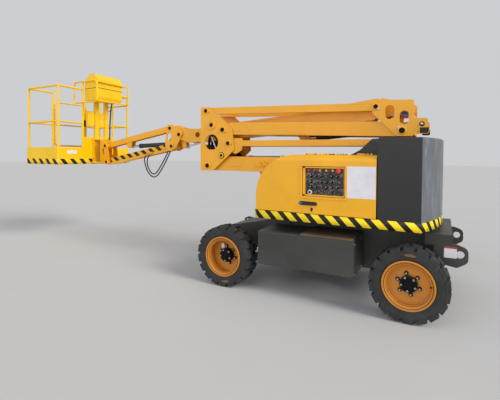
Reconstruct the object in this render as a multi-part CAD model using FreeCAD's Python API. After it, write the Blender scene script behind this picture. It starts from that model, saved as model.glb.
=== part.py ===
import FreeCAD, Part
import math
import os
from FreeCAD import Vector

# Articulating boom lift, in millimetres.
# Measured from the rear axle: x forward to the platform, y to the left, z up from the ground.
# At the end every piece is moved so that the origin is under the middle of the whole machine.

# Whole machine
WHEELBASE = 2000.0
REAR_REACH = -493.0          # tip of the rear tie-down lugs
FRONT_REACH = 6000.0         # front face of the platform
ORIGIN_X = (REAR_REACH + FRONT_REACH) / 2
PIN_GAP = 0.3                # radial clearance of every pivot
SEAT_GAP = 0.3               # clearance between faces that slide on each other

# Wheels and axles
TYRE_R = 355.0
TYRE_OUTER_Y = 875.0
TYRE_W = 240.0
TREAD_DEPTH = 22.0
TREAD_BLOCKS = 18
TREAD_GROOVE = 36.0          # length of a groove round the tyre
TREAD_SHARE = 0.46           # width of a block row, as a part of the tyre's width
FLANGE_R = 233.0
RIM_WELL_R = 202.0
RIM_T = 8.0
DISC_T = 14.0
HUB_R = 80.0
AXLE_Z = TYRE_R
AXLE_HALF_Y = 560.0
AXLE_W = 110.0
AXLE_H = 120.0
KINGPIN_Y = 620.0
KINGPIN_R = 20.0
KNUCKLE_R = 34.0
KNUCKLE_H = 130.0
FORK_T = 22.0
STEER_ARM = 150.0
TIE_ROD_R = 14.0
FORK_REACH = 120.0           # from the end of the front beam to the kingpin
# name, x of the wheel, outer face of the disc from the tyre's outer face
WHEEL_TABLE = [("rear", 0.0, 78.0), ("front", WHEELBASE, 138.0)]

# Chassis
FRAME_HALF_Y = 300.0
FRAME_T = 12.0
FRAME_TOP_Z = 790.0
FRAME_LOW_Z = 430.0
BELLY_Z = 300.0
SIDE_BOX_X = (500.0, WHEELBASE - 445.0)
SIDE_BOX_Y = 830.0
SIDE_BOX_Z = (330.0, 700.0)
BELLY_X = (330.0, WHEELBASE - 440.0)
SLOPE_X = WHEELBASE - 580.0  # where the top of the frame starts to fall
NOSE_X = WHEELBASE + 270.0
NOSE_Z = (480.0, 600.0)
LUG_T = 30.0
REAR_LUG_X = -425.0
REAR_LUG_Y = 500.0
REAR_LUG_Z = 613.0
REAR_LUG_R = 38.0
REAR_LUG_END_X = -200.0      # front end of the rear lugs
FRONT_LUG_X = WHEELBASE + 330.0
FRONT_LUG_Y = 390.0
FRONT_LUG_Z = 558.0
FRONT_LUG_R = 30.0
FRONT_LUG_TIP = 53.0
REAR_BEAM_X = (-360.0, -120.0)
REAR_BEAM_Z = (685.0, 795.0)
FRONT_BEAM_X = (WHEELBASE + 210.0, WHEELBASE + 260.0)
FRONT_BEAM_Z = (500.0, 595.0)

# Turntable
SLEW_X = 1000.0
SLEW_R_OUT = 390.0
SLEW_R_IN = 300.0
SLEW_SPLIT_Z = 830.0
TABLE_Z = (840.0, 930.0)
TABLE_HALF_Y = 800.0
TABLE_FRONT_X = 1630.0
TABLE_REAR_X = -100.0
TABLE_TAIL_X = -270.0
TABLE_T = 12.0
WEB_T = 14.0                  # cross-plates of the turret and the front knuckle
WEB_LAP = 4.0                 # how far they run into the side plates
TURRET_WALL_TOP_Z = 1600.0
TURRET_SHELF_X = 560.0
TURRET_SHELF_Z = 1180.0
FRONT_WEB_X = (2735.0, 2750.0)
FRONT_WEB_Z = (1440.0, 1690.0)
FRONT_SHELF_X = (2450.0, 2740.0)
FRONT_SHELF_Z = 1604.0
HOOD_X = (300.0, 1600.0)
HOOD_TOP_Z = 1555.0
HOOD_INNER_Y = 420.0
HOOD_FRONT_R = 450.0
HOOD_T = 12.0
CONSOLE_LAP = 20.0            # how far the ground console runs past its window
CONSOLE_DEPTH = 130.0
PEDESTAL_HALF_X = 120.0
PEDESTAL_Y = (120.0, 20.0)    # behind the console's face
ENGINE_X = (240.0, 880.0)     # from the hood's rear end
ENGINE_MARGIN_Y = 90.0        # inside the hood's outer face
ENGINE_INNER_Y = 40.0         # outside the hood's inner wall
# tiers from the sump up: inset at each end, inset at each side as a share of the width, z0, z1
ENGINE_TIERS = [(0.0, 0.08, 60.0, 300.0), (40.0, 0.20, 295.0, 390.0), (60.0, 0.28, 385.0, 420.0)]
# pump, silencer, air filter: start, end, place off the middle as a share of the width, height,
# radius as a share of the width
ENGINE_DRUMS = [(-150.0, 5.0, 0.0, 180.0, 0.28), (60.0, 300.0, 0.26, 470.0, 0.248),
                (340.0, 620.0, 0.0, 455.0, 0.192)]
SHROUD_X = (-5.0, 60.0)       # from the engine's front end
SHROUD_Z = (20.0, 440.0)      # above the turntable's top
ENGINE_FOOT_X = (40.0, 100.0)
ENGINE_FOOT = 60.0
ENGINE_FOOT_Z = 70.0
HOOD_LIFT = 5.0              # gap under the hood
HINGE_Y = 410.0
HINGE_Z = 1561.0
HINGE_R = 11.0
HINGE_PIN_R = 6.0
HINGE_LEN = 90.0
HINGE_X = (470.0, 1040.0)
WALL_Y = 394.0
WALL_T = 8.0
WEIGHT_TOP_Z = 1725.0
WEIGHT_FRONT_X = 290.0
WEIGHT_EDGE_R = 18.0
WINDOW_X = (602.0, 1053.0)
WINDOW_Z = (1116.0, 1435.0)
CONSOLE_RECESS = 16.0

# Riser, pivots as (x, z)
K6 = (735.0, 1390.0)         # lower arm on the turret
LOWER_RUN = 1904.0
P6 = (K6[0] + LOWER_RUN, 1395.0)
LINK_STEP = (-332.0, 307.0)  # from the lower arm's pivots to the lower link's
K4 = (K6[0] + LINK_STEP[0], K6[1] + LINK_STEP[1])
P4 = (P6[0] + LINK_STEP[0], P6[1] + LINK_STEP[1])
P3 = (2396.0, 1886.0)        # upper arm on the front knuckle
UPPER_RUN = (-2268.0, -63.0)
UPPER_STEP = (272.0, 270.0)  # from the upper arm's pivots to the upper link's
R2 = (P3[0] + UPPER_RUN[0], P3[1] + UPPER_RUN[1])
P1 = (P3[0] + UPPER_STEP[0], P3[1] + UPPER_STEP[1])
R1 = (R2[0] + UPPER_STEP[0], R2[1] + UPPER_STEP[1])
PLATE_Y = 238.0              # inner face of the knuckle and turret plates
PLATE_T = 12.0
SIDE_GAP = 6.0               # between an arm's boss and the plate beside it
PAIR_Y = (160.0, 232.0)      # the upper arm, upper link and lower link run in pairs
ARM_PIN_R = 26.0
LINK_PIN_R = 20.0
LOWER_ARM_HALF_Y = 200.0
LOWER_ARM_H = 190.0
UPPER_ARM_W = (-100.0, 62.0)    # upper and lower face, from the line of its pivots
UPPER_LINK_H = 88.0
UPPER_LINK_RISE = (300.0, 50.0) # length and height of the rise at its rear end
LOWER_LINK_H = 76.0
BOX_T = 8.0

# Main boom, in its own line: u along it from its pivot, w square to it
V = (100.0, 2080.0)
BOOM_DROP = 4.7              # degrees down to the front when stowed
BOOM_HALF_Y = 110.0
BOOM_W = (-127.0, 93.0)
BOOM_T = 8.0
BOOM_FRONT_U = 2695.0
BOOM_TAIL_R = 75.0
BOOM_DEEP_U = 640.0          # where the lower face has its full depth
BOOM_PIN_R = 28.0
FLY_HALF_Y = 85.0
FLY_H = 190.0
FLY_TAIL_U = 660.0
FLY_BOX_U = 3030.0
NOSE_BACK = 277.0            # from the jib pivot back to the start of the nose plates
NOSE_T = 10.0
SLOT_HALF_Y = 52.0           # slot in the floor of the fly boom
NOTCH_HALF_Y = 46.0          # gap in the lower wear pad for the levelling rod
PAD_LEN = 60.0
TELESCOPE = 1500.0

# Jib
N = (3257.0, 1847.0)         # jib knuckle on the fly boom's nose
JIB_TOP = (3430.0, 1946.0)
JIB_STEP = (-30.0, -274.0)   # from the top link's pivots to the lower arm's
JIB_LOW = (JIB_TOP[0] + JIB_STEP[0], JIB_TOP[1] + JIB_STEP[1])
JIB_RUN = (1410.0, -262.0)
HEAD_TOP = (JIB_TOP[0] + JIB_RUN[0], JIB_TOP[1] + JIB_RUN[1])
HEAD_LOW = (JIB_LOW[0] + JIB_RUN[0], JIB_LOW[1] + JIB_RUN[1])
JIB_PLATE_Y = 92.0
JIB_PLATE_T = 15.0
JIB_PIN_R = 20.0
JIB_BOSS_R = 36.0
JIB_LINK_HALF_Y = 51.0
JIB_LINK_H = 104.0
JIB_LINK_T = 7.0
JIB_ARM_Y = (56.0, 67.0)
JIB_ARM_H = 110.0

# Platform
ROTATE_X = 5000.0
ROTATE_R = 62.0
ROTATE_PIN_R = 26.0
ROTATE_Z = (1410.0, 1790.0)
CAGE_X = (5170.0, FRONT_REACH)
CAGE_HALF_Y = 750.0
CAGE_LOW_Z = 1370.0
FLOOR_T = 14.0
CAGE_TOP_Z = 2660.0
CAGE_MID_Z = 2070.0
TOE_Z = 1650.0
TOE_T = 6.0
CAGE_CORNER_R = 24.0
BACK_PLATE_Z = 1838.0        # plate between the rear posts
RAIL_R = 17.0
REAR_POST_Y = (275.0, -364.0)
GATE_Y = (290.0, -400.0)
GATE_TOP_Z = 2480.0
MAST_Y = (40.0, -170.0)
MAST_W = 76.0
MAST_D = 44.0
BOX_Y = (-285.0, 246.0)
BOX_X = (4870.0, 5170.0)
BOX_Z = (2455.0, 2660.0)     # the masts end under the box
LID_H = 240.0
LID_TOP_Z = BOX_Z[1] + LID_H
LID_HINGE_R = 9.0
LID_HINGE = (BOX_X[1] + LID_HINGE_R, BOX_Z[1] + 15.0)
GUARD_X = (BOX_X[0] - 44.0, 5400.0)
GUARD_Y = (284.0, -385.0)
GUARD_Z = (2420.0, 2775.0)
GUARD_R = 14.0
GUARD_RAIL_R = 13.0          # the rails between the loops are a little thinner
GUARD_BEND = 60.0

# Cylinders: base pivot, rod eye (x, z), barrel radius, rod radius, barrel length
RISER_CYL = ((860.0, 1000.0), (1800.0, 1225.0), 52.0, 28.0, 780.0)
LIFT_CYL = ((180.0, 1870.0), (1300.0, 1760.0), 43.0, 25.0, 960.0)
JIB_CYL = ((3502.0, 1705.0), (4340.0, 1672.0), 34.0, 16.0, 630.0)
LEVEL_CYL = ((2340.0, 1862.0), (3190.0, 1662.0), 25.0, 14.0, 325.0)
# pin in each base eye, and length of rod inside the barrel when stowed
BASE_PINS = {"riser_cylinder": 24.0, "lift_cylinder": 22.0, "jib_cylinder": 14.0,
             "level_cylinder": 12.0}
STROKE_GRIP = {"riser_cylinder": 640.0, "lift_cylinder": 800.0, "jib_cylinder": 320.0,
               "level_cylinder": 60.0}
NECK = 72.0                  # from a cylinder's base pin to its barrel
LUG_PIN_R = 18.0
EYE_HALF_Y = 24.0
EYE_GAP = 6.0
EYE_PLATE_T = 12.0

# Hanging hoses on the left of the jib arm, points (x, z) of the routes
HOSE_R = 9.0
HOSE_Y = 79.5
HOSE_CUT = 0.45              # part of a run that the arc at its end takes
FITTING_R = 14.0
FITTING_LEN = 40.0
OUTER_HOSE = [(3925, 1541), (3982, 1494), (3966, 1392), (3905, 1258), (3795, 1172), (3688, 1214),
              (3566, 1382), (3456, 1566), (3424, 1630)]
INNER_HOSE = [(3840, 1556), (3900, 1512), (3926, 1400), (3868, 1282), (3790, 1222), (3712, 1258),
              (3606, 1400), (3500, 1566), (3466, 1622)]

# Outlines in side view, points (x, z) and the rounding at each
TURRET_TOP_Z = 1738.0
TURRET_SIDE = [(HOOD_X[0], TABLE_Z[1], 0), (HOOD_X[0], TURRET_TOP_Z, 20), (430, TURRET_TOP_Z, 30),
               (560, 1615, 60), (800, 1480, 60), (850, 1380, 50), (880, 1200, 60),
               (1060, TABLE_Z[1], 0)]
FRONT_KNUCKLE_SIDE = [(2757, 2210, 12), (2610, 2207, 30), (2246, 1904, 40), (2213, 1611, 30),
                      (2547, 1327, 60), (2757, 1322, 24)]
ROUND_WINDOW = (2574, 1719)
ROUND_WINDOW_R = 109.0
LOWER_HOLE = (2410, 1536)
UPPER_RING = (2575, 1957)
KNUCKLE_HOLE_R = 44.0
REAR_KNUCKLE_SIDE = [(445, 2030, 25), (347, 2184, 25), (220, 2155, 40), (10, 2149, 30),
                     (10, 1952, 20), (-124, 1948, 30), (-128, 1810, 30), (10, 1810, 20),
                     (13, 1761, 20), (187, 1764, 60)]
# x of the middle, low and high end of each slot
REAR_SLOTS = [(253, 1949, 2101), (108, 1890, 2035)]
REAR_SLOT_HALF_X = 46.0
BRACKET_HOLE = (-66, 1888)
BRACKET_HOLE_R = 26.0
JIB_KNUCKLE_SIDE = [(3477, 2001, 20), (3390, 1998, 30), (3271, 1943, 40), (3202, 1889, 20),
                    (3195, 1849, 20), (3321, 1643, 50), (3425, 1594, 50), (3522, 1643, 30),
                    (3522, 1738, 30), (3505, 1855, 60)]
FLY_WINDOW = (2933, 1838)
FLY_WINDOW_R = 40.0


def box(x, y, z):
    """Block between two limits on each axis."""
    size = (x[1] - x[0], y[1] - y[0], z[1] - z[0])
    return Part.makeBox(size[0], size[1], size[2], Vector(x[0], y[0], z[0]))


def rounded_wire(corners, place):
    """Closed outline through corners (u, v, radius), each rounded by a tangent arc."""
    ends = []
    count = len(corners)
    for i in range(count):
        u, v, radius = corners[i]
        here = Vector(u, v, 0)
        before = Vector(corners[i - 1][0], corners[i - 1][1], 0) - here
        after = Vector(corners[(i + 1) % count][0], corners[(i + 1) % count][1], 0) - here
        if radius <= 0:
            ends.append((here, None, here))
            continue
        half = before.getAngle(after) / 2
        before.normalize()
        after.normalize()
        cut = radius / math.tan(half)
        toward = before + after
        toward.normalize()
        middle = here + toward * (radius / math.sin(half) - radius)
        ends.append((here + before * cut, middle, here + after * cut))
    edges = []
    for i in range(count):
        start, middle, end = ends[i]
        if middle is not None:
            arc = [place(p.x, p.y) for p in (start, middle, end)]
            edges.append(Part.Arc(*arc).toShape())
        following = ends[(i + 1) % count][0]
        if (following - end).Length > 0.001:
            line = [place(p.x, p.y) for p in (end, following)]
            edges.append(Part.LineSegment(*line).toShape())
    return Part.Wire(edges)


def plate_xz(corners, y):
    """Plate with an outline in side view, between two values of y."""
    wire = rounded_wire(corners, lambda u, v: Vector(u, y[0], v))
    return Part.Face(wire).extrude(Vector(0, y[1] - y[0], 0))


def plate_xy(corners, z):
    """Plate with an outline in plan, between two heights."""
    wire = rounded_wire(corners, lambda u, v: Vector(u, v, z[0]))
    return Part.Face(wire).extrude(Vector(0, 0, z[1] - z[0]))


def plate_yz(corners, x):
    """Plate with an outline seen from the front, between two values of x."""
    wire = rounded_wire(corners, lambda u, v: Vector(x[0], u, v))
    return Part.Face(wire).extrude(Vector(x[1] - x[0], 0, 0))


def across(point, radius, y):
    """Round bar along y through a point (x, z)."""
    return Part.makeCylinder(radius, y[1] - y[0], Vector(point[0], y[0], point[1]), Vector(0, 1, 0))


def bar(start, end, radius):
    """Round bar between two points."""
    along = end - start
    return Part.makeCylinder(radius, along.Length, start, along)


def mirrored(shape):
    """The same piece on the other side."""
    return shape.mirror(Vector(0, 0, 0), Vector(0, 1, 0))


def pair(shape):
    """A piece and its twin on the other side."""
    return Part.makeCompound([shape, mirrored(shape)])


def fused(*shapes):
    """One solid out of pieces that overlap."""
    solids = []
    for shape in shapes:
        solids.extend(shape.Solids)
    whole = solids[0].fuse(solids[1:])
    return whole.removeSplitter()


def bent_tube(points, bend, radius):
    """Round tube through points, with arcs of one bend radius at the corners."""
    edges = []
    at = points[0]
    for i in range(1, len(points) - 1):
        before = points[i - 1] - points[i]
        after = points[i + 1] - points[i]
        half = before.getAngle(after) / 2
        before.normalize()
        after.normalize()
        cut = bend / math.tan(half)
        toward = before + after
        toward.normalize()
        start = points[i] + before * cut
        end = points[i] + after * cut
        middle = points[i] + toward * (bend / math.sin(half) - bend)
        if (start - at).Length > 0.001:
            edges.append(Part.LineSegment(at, start).toShape())
        edges.append(Part.Arc(start, middle, end).toShape())
        at = end
    if (points[-1] - at).Length > 0.001:
        edges.append(Part.LineSegment(at, points[-1]).toShape())
    path = Part.Wire(edges)
    first = points[1] - points[0]
    ring = Part.Wire(Part.makeCircle(radius, points[0], first))
    return path.makePipeShell([ring], True, False)


def put(node, shape):
    """Write one piece, moved to the frame of the whole machine."""
    moved = shape.copy()
    moved.translate(Vector(-ORIGIN_X, 0, 0))
    moved.exportStep("parts/" + node + ".step")


def along(start, end, t, w=0.0):
    """Point (x, z) at a distance t from start towards end, and w square to that line."""
    run = math.hypot(end[0] - start[0], end[1] - start[1])
    c = (end[0] - start[0]) / run
    s = (end[1] - start[1]) / run
    return (start[0] + t * c - w * s, start[1] + t * s + w * c)


def beam_corners(start, end, stations):
    """Outline of a beam from stations (t, w, radius) along the line between two pivots."""
    corners = []
    for t, w, radius in stations:
        x, z = along(start, end, t, w)
        corners.append((x, z, radius))
    return corners


def run_length(start, end):
    return math.hypot(end[0] - start[0], end[1] - start[1])


# Wheels

def turned(profile, x, side):
    """Ring turned about the wheel's axle from a profile of (y, radius, rounding)."""
    wire = rounded_wire(profile, lambda u, v: Vector(x, u, AXLE_Z + v))
    ring = Part.Face(wire).revolve(Vector(x, 0, AXLE_Z), Vector(0, 1, 0), 360)
    return ring if side > 0 else mirrored(ring)


def tyre(x, side):
    """Tyre with two rows of tread blocks, half a pitch apart."""
    inner = TYRE_OUTER_Y - TYRE_W
    base_r = FLANGE_R + SEAT_GAP
    profile = [(inner + 12, base_r, 0), (TYRE_OUTER_Y - 12, base_r, 0),
               (TYRE_OUTER_Y, base_r + 30, 20), (TYRE_OUTER_Y, TYRE_R, 26),
               (inner, TYRE_R, 26), (inner, base_r + 30, 20)]
    body = turned(profile, x, 1)
    row = TYRE_W * TREAD_SHARE
    middle = TYRE_OUTER_Y - TYRE_W / 2
    grooves = []
    for k in range(TREAD_BLOCKS):
        for y0, y1, shift in ((inner - 5, middle - (TYRE_W / 2 - row), 0.5),
                              (middle + (TYRE_W / 2 - row), TYRE_OUTER_Y + 5, 0.0)):
            groove = box((-TREAD_GROOVE / 2, TREAD_GROOVE / 2), (y0, y1),
                         (TYRE_R - TREAD_DEPTH, TYRE_R + TREAD_DEPTH))
            turn = 360.0 / TREAD_BLOCKS * (k + shift)
            groove.rotate(Vector(0, 0, 0), Vector(0, 1, 0), turn)
            groove.translate(Vector(x, 0, AXLE_Z))
            grooves.append(groove)
    body = body.cut(grooves)
    return body if side > 0 else mirrored(body)


def rim(x, dish, side):
    """Rim with two flanges, a well and a dished disc with a hub bore."""
    inner = TYRE_OUTER_Y - TYRE_W + 7
    outer = TYRE_OUTER_Y - 5
    well = RIM_WELL_R - RIM_T
    disc = TYRE_OUTER_Y - dish
    bore = HUB_R + PIN_GAP
    profile = [(inner, well + 24, 4), (inner, FLANGE_R, 3), (inner + 10, FLANGE_R, 3),
               (inner + 16, RIM_WELL_R, 6), (outer - 16, RIM_WELL_R, 6),
               (outer - 10, FLANGE_R, 3), (outer, FLANGE_R, 3), (outer, well + 24, 4),
               (outer - 12, well, 6), (disc, well, 0), (disc - 10, bore + 50, 8),
               (disc - 10, bore, 0), (disc - 10 - DISC_T, bore, 0),
               (disc - 10 - DISC_T, bore + 50, 8), (disc - DISC_T, well, 0),
               (inner + 12, well, 6)]
    return turned(profile, x, side)


def wheels():
    for name, x, dish in WHEEL_TABLE:
        for side_name, side in (("left", 1), ("right", -1)):
            put("tyre_" + name + "_" + side_name, tyre(x, side))
            put("rim_" + name + "_" + side_name, rim(x, dish, side))


def rear_axle():
    """Beam with flanged wheel motors at its ends."""
    beam = box((-AXLE_W / 2, AXLE_W / 2), (-AXLE_HALF_Y, AXLE_HALF_Y),
               (AXLE_Z - AXLE_H / 2, AXLE_Z + AXLE_H / 2))
    pieces = [beam]
    disc_y = TYRE_OUTER_Y - WHEEL_TABLE[0][2]
    for side in (1, -1):
        motor = across((0, AXLE_Z), HUB_R + 18, (AXLE_HALF_Y - 10, TYRE_OUTER_Y - 160))
        hub = across((0, AXLE_Z), HUB_R, (AXLE_HALF_Y, disc_y + 18))
        pad = box((-70, 70), (FRAME_HALF_Y - 60, FRAME_HALF_Y), (AXLE_Z, FRAME_LOW_Z))
        for piece in (motor, hub, pad):
            pieces.append(piece if side > 0 else mirrored(piece))
    put("rear_axle", fused(*pieces))


def front_axle():
    """Beam with forks that hold the kingpins."""
    x = WHEELBASE
    beam_end = KINGPIN_Y - FORK_REACH
    low = AXLE_Z - KNUCKLE_H / 2 - SEAT_GAP
    high = AXLE_Z + KNUCKLE_H / 2 + SEAT_GAP
    pieces = [box((x - AXLE_W / 2, x + AXLE_W / 2), (-beam_end, beam_end),
                  (AXLE_Z - AXLE_H / 2, AXLE_Z + AXLE_H / 2))]
    for side in (1, -1):
        for z in ((low - FORK_T, low), (high, high + FORK_T)):
            arm = plate_xy([(x - 45, beam_end - 60, 0), (x + 45, beam_end - 60, 0),
                            (x + 34, KINGPIN_Y + 34, 30), (x - 34, KINGPIN_Y + 34, 30)], z)
            pieces.append(arm if side > 0 else mirrored(arm))
        web = box((x - 40, x + 40), (beam_end - 50, beam_end), (low - FORK_T, high + FORK_T))
        pin = Part.makeCylinder(KINGPIN_R, high - low + FORK_T,
                                Vector(x, KINGPIN_Y, low - FORK_T / 2), Vector(0, 0, 1))
        pad = box((x - 70, x + 70), (FRAME_HALF_Y - 60, FRAME_HALF_Y), (AXLE_Z, FRAME_LOW_Z))
        for piece in (web, pin, pad):
            pieces.append(piece if side > 0 else mirrored(piece))
    put("front_axle", fused(*pieces))


def steer_knuckles():
    """Knuckle barrel on the kingpin, with the wheel's hub and the steering arm."""
    x = WHEELBASE
    low = AXLE_Z - KNUCKLE_H / 2
    disc_y = TYRE_OUTER_Y - WHEEL_TABLE[1][2]
    barrel = Part.makeCylinder(KNUCKLE_R, KNUCKLE_H, Vector(x, KINGPIN_Y, low), Vector(0, 0, 1))
    hub = across((x, AXLE_Z), HUB_R, (KINGPIN_Y + 45, disc_y + 18))
    neck = across((x, AXLE_Z), 44, (KINGPIN_Y, KINGPIN_Y + 50))
    arm = plate_xy([(x + 20, KINGPIN_Y - 30, 10), (x + 20, KINGPIN_Y + 30, 10),
                    (x - STEER_ARM - 26, KINGPIN_Y - 20, 24),
                    (x - STEER_ARM - 26, KINGPIN_Y - 72, 24)], (low, low + 22))
    body = fused(barrel, hub, neck, arm)
    bore = Part.makeCylinder(KINGPIN_R + PIN_GAP, KNUCKLE_H, Vector(x, KINGPIN_Y, low),
                             Vector(0, 0, 1))
    body = body.cut(bore)
    put("steer_knuckle_left", body)
    put("steer_knuckle_right", mirrored(body))


def tie_rod():
    """Rod between the steering arms, with an eye under each arm."""
    x = WHEELBASE - STEER_ARM
    end = KINGPIN_Y - 46
    eye = TIE_ROD_R + 3
    z = AXLE_Z - KNUCKLE_H / 2 - eye - SEAT_GAP
    pieces = [across((x, z), TIE_ROD_R, (-end, end))]
    for y in (-end, end):
        pieces.append(Part.makeCylinder(22, eye * 2, Vector(x, y, z - eye)))
    put("tie_rod", fused(*pieces))


# Chassis

def chassis_frame():
    """Deep pressed frame, open below, with cross-beams and tie-down lugs."""
    tail = -340
    outer = [(tail, 540, 20), (tail, 700, 30), (-250, FRAME_TOP_Z, 40), (SLOPE_X, FRAME_TOP_Z, 60),
             (NOSE_X, NOSE_Z[1], 20), (NOSE_X, NOSE_Z[0], 20), (WHEELBASE + 200, FRAME_LOW_Z, 20),
             (WHEELBASE - 320, FRAME_LOW_Z, 30), (BELLY_X[1], BELLY_Z, 30), (BELLY_X[0], BELLY_Z, 30),
             (BELLY_X[0] - 130, FRAME_LOW_Z, 30), (-200, FRAME_LOW_Z, 30)]
    inner = [(tail + FRAME_T, 300, 0), (tail + FRAME_T, 700 - FRAME_T / 2, 20),
             (-250 + FRAME_T / 2, FRAME_TOP_Z - FRAME_T, 30), (SLOPE_X, FRAME_TOP_Z - FRAME_T, 40),
             (NOSE_X - FRAME_T, NOSE_Z[1] - FRAME_T, 10), (NOSE_X - FRAME_T, 200, 0),
             (tail + FRAME_T, 200, 0)]
    shell = plate_xz(outer, (-FRAME_HALF_Y, FRAME_HALF_Y))
    room = plate_xz(inner, (-FRAME_HALF_Y + FRAME_T, FRAME_HALF_Y - FRAME_T))
    shell = shell.cut(room)
    pieces = [shell]
    for x in (BELLY_X[0] + 60, SLEW_X, SLOPE_X - 20):
        pieces.append(box((x - 6, x + 6), (-FRAME_HALF_Y + 5, FRAME_HALF_Y - 5),
                          (FRAME_LOW_Z + 10, FRAME_TOP_Z - 5)))
    rear_y = (REAR_LUG_Y - LUG_T / 2, REAR_LUG_Y + LUG_T / 2)
    rear = plate_xz([(REAR_LUG_END_X, 520, 10), (REAR_LUG_X + 25, 486, 20), (REAR_REACH, 545, 55),
                     (REAR_REACH, 672, 55), (REAR_LUG_X + 25, 706, 40), (REAR_LUG_END_X, 706, 10)],
                    rear_y)
    rear = rear.cut(across((REAR_LUG_X, REAR_LUG_Z), REAR_LUG_R, rear_y))
    front_y = (FRONT_LUG_Y - LUG_T / 2, FRONT_LUG_Y + LUG_T / 2)
    tip = FRONT_LUG_X + FRONT_LUG_TIP
    back = FRONT_BEAM_X[0]
    low, high = FRONT_BEAM_Z
    front = plate_xz([(back, low, 0), (tip - 30, low, 20), (tip, low + 30, 30), (tip, high - 5, 40),
                      (tip - 60, high + 23, 30), (back, high + 5, 0)], front_y)
    front = front.cut(across((FRONT_LUG_X, FRONT_LUG_Z), FRONT_LUG_R, front_y))
    for lug in (rear, front):
        pieces.extend([lug, mirrored(lug)])
    pieces.append(box(REAR_BEAM_X, (-rear_y[1], rear_y[1]), REAR_BEAM_Z))
    pieces.append(box(FRONT_BEAM_X, (-front_y[1], front_y[1]), FRONT_BEAM_Z))
    put("chassis_frame", fused(*pieces))


def side_boxes():
    """Closed boxes on both sides between the wheels, with a lid strip and a bracket."""
    x0, x1 = SIDE_BOX_X
    z0, z1 = SIDE_BOX_Z
    section = [(FRAME_HALF_Y, z0, 0), (SIDE_BOX_Y, z0, 10), (SIDE_BOX_Y, z1, 14), (FRAME_HALF_Y, z1, 0)]
    body = plate_yz(section, SIDE_BOX_X)
    lid = box((x0 + 20, x0 + 560), (FRAME_HALF_Y + 20, SIDE_BOX_Y - 15), (z1 - 5, z1 + 14))
    bracket = plate_xz([(x1 - 190, z1 - 5, 0), (x1 - 60, z1 - 5, 0), (x1 - 90, z1 + 80, 10),
                        (x1 - 160, z1 + 80, 10)], (FRAME_HALF_Y, FRAME_HALF_Y + 12))
    whole = fused(body, lid, bracket)
    put("side_boxes", pair(whole))


def slew_ring():
    """Lower ring of the slewing bearing, on the frame."""
    ring = Part.makeCylinder(SLEW_R_OUT, SLEW_SPLIT_Z - SEAT_GAP - FRAME_TOP_Z,
                             Vector(SLEW_X, 0, FRAME_TOP_Z))
    hole = Part.makeCylinder(SLEW_R_IN, SLEW_SPLIT_Z, Vector(SLEW_X, 0, FRAME_TOP_Z))
    put("slew_ring", ring.cut(hole))


# Turntable

def table_outline(inset):
    """Plan outline of the turntable, drawn in by an inset."""
    y = TABLE_HALF_Y - inset
    front = TABLE_FRONT_X - inset
    rear = TABLE_REAR_X
    tail = TABLE_TAIL_X + inset
    edges = [Part.LineSegment(Vector(rear, y, 0), Vector(front - 40, y, 0)),
             Part.LineSegment(Vector(front - 40, y, 0), Vector(front, y - 40, 0)),
             Part.LineSegment(Vector(front, y - 40, 0), Vector(front, -y + 40, 0)),
             Part.LineSegment(Vector(front, -y + 40, 0), Vector(front - 40, -y, 0)),
             Part.LineSegment(Vector(front - 40, -y, 0), Vector(rear, -y, 0)),
             Part.Arc(Vector(rear, -y, 0), Vector(tail, 0, 0), Vector(rear, y, 0))]
    return Part.Wire([edge.toShape() for edge in edges])


def table_slab(inset, z):
    face = Part.Face(table_outline(inset))
    slab = face.extrude(Vector(0, 0, z[1] - z[0]))
    slab.translate(Vector(0, 0, z[0]))
    return slab


def turntable_base():
    """Tray with a deep edge, on the upper ring of the slewing bearing."""
    tray = table_slab(0, TABLE_Z)
    tray = tray.cut(table_slab(TABLE_T, (TABLE_Z[0] - 5, TABLE_Z[1] - TABLE_T)))
    ring = Part.makeCylinder(SLEW_R_OUT, TABLE_Z[1] - SLEW_SPLIT_Z - 2,
                             Vector(SLEW_X, 0, SLEW_SPLIT_Z))
    ring = ring.cut(Part.makeCylinder(SLEW_R_IN, TABLE_Z[1],
                                      Vector(SLEW_X, 0, SLEW_SPLIT_Z)))
    put("turntable_base", fused(tray, ring))


def turret():
    """Two plates that carry the riser, their cross-plates and the riser cylinder's lugs."""
    base = TABLE_Z[1]
    side = plate_xz(TURRET_SIDE, (PLATE_Y, PLATE_Y + 24))
    pieces = [side, mirrored(side)]
    wide = (-PLATE_Y - WEB_LAP, PLATE_Y + WEB_LAP)
    pieces.append(box((HOOD_X[0], HOOD_X[0] + WEB_T), wide, (base, TURRET_WALL_TOP_Z)))
    pieces.append(box((HOOD_X[0] + 10, TURRET_SHELF_X), wide,
                      (TURRET_SHELF_Z, TURRET_SHELF_Z + WEB_T)))
    pieces.append(across(K6, ARM_PIN_R, (-PLATE_Y - 34, PLATE_Y + 34)))
    stub = across(K4, LINK_PIN_R, (PAIR_Y[0] - 4, PLATE_Y + 34))
    pieces.extend([stub, mirrored(stub)])
    bx, bz = RISER_CYL[0]
    ear = plate_xz([(bx - 110, base, 0), (bx - 45, bz + 48, 36), (bx + 48, bz + 48, 40),
                    (bx + 48, base, 0)], (EYE_HALF_Y + EYE_GAP, EYE_HALF_Y + EYE_GAP + 20))
    pieces.extend([ear, mirrored(ear)])
    pieces.append(across(RISER_CYL[0], 24, (-60, 60)))
    whole = fused(*pieces)
    put("turret", whole)


def counterweight():
    """Cast block with a curved back and rounded upper edges."""
    block = table_slab(0, (TABLE_Z[1], WEIGHT_TOP_Z))
    keep = box((TABLE_TAIL_X - 10, WEIGHT_FRONT_X), (-TABLE_HALF_Y, TABLE_HALF_Y),
               (TABLE_Z[1], WEIGHT_TOP_Z))
    block = block.common(keep)
    rims = [edge for edge in block.Edges if edge.BoundBox.ZMin > WEIGHT_TOP_Z - 1]
    put("counterweight", block.makeFillet(WEIGHT_EDGE_R, rims))


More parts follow.
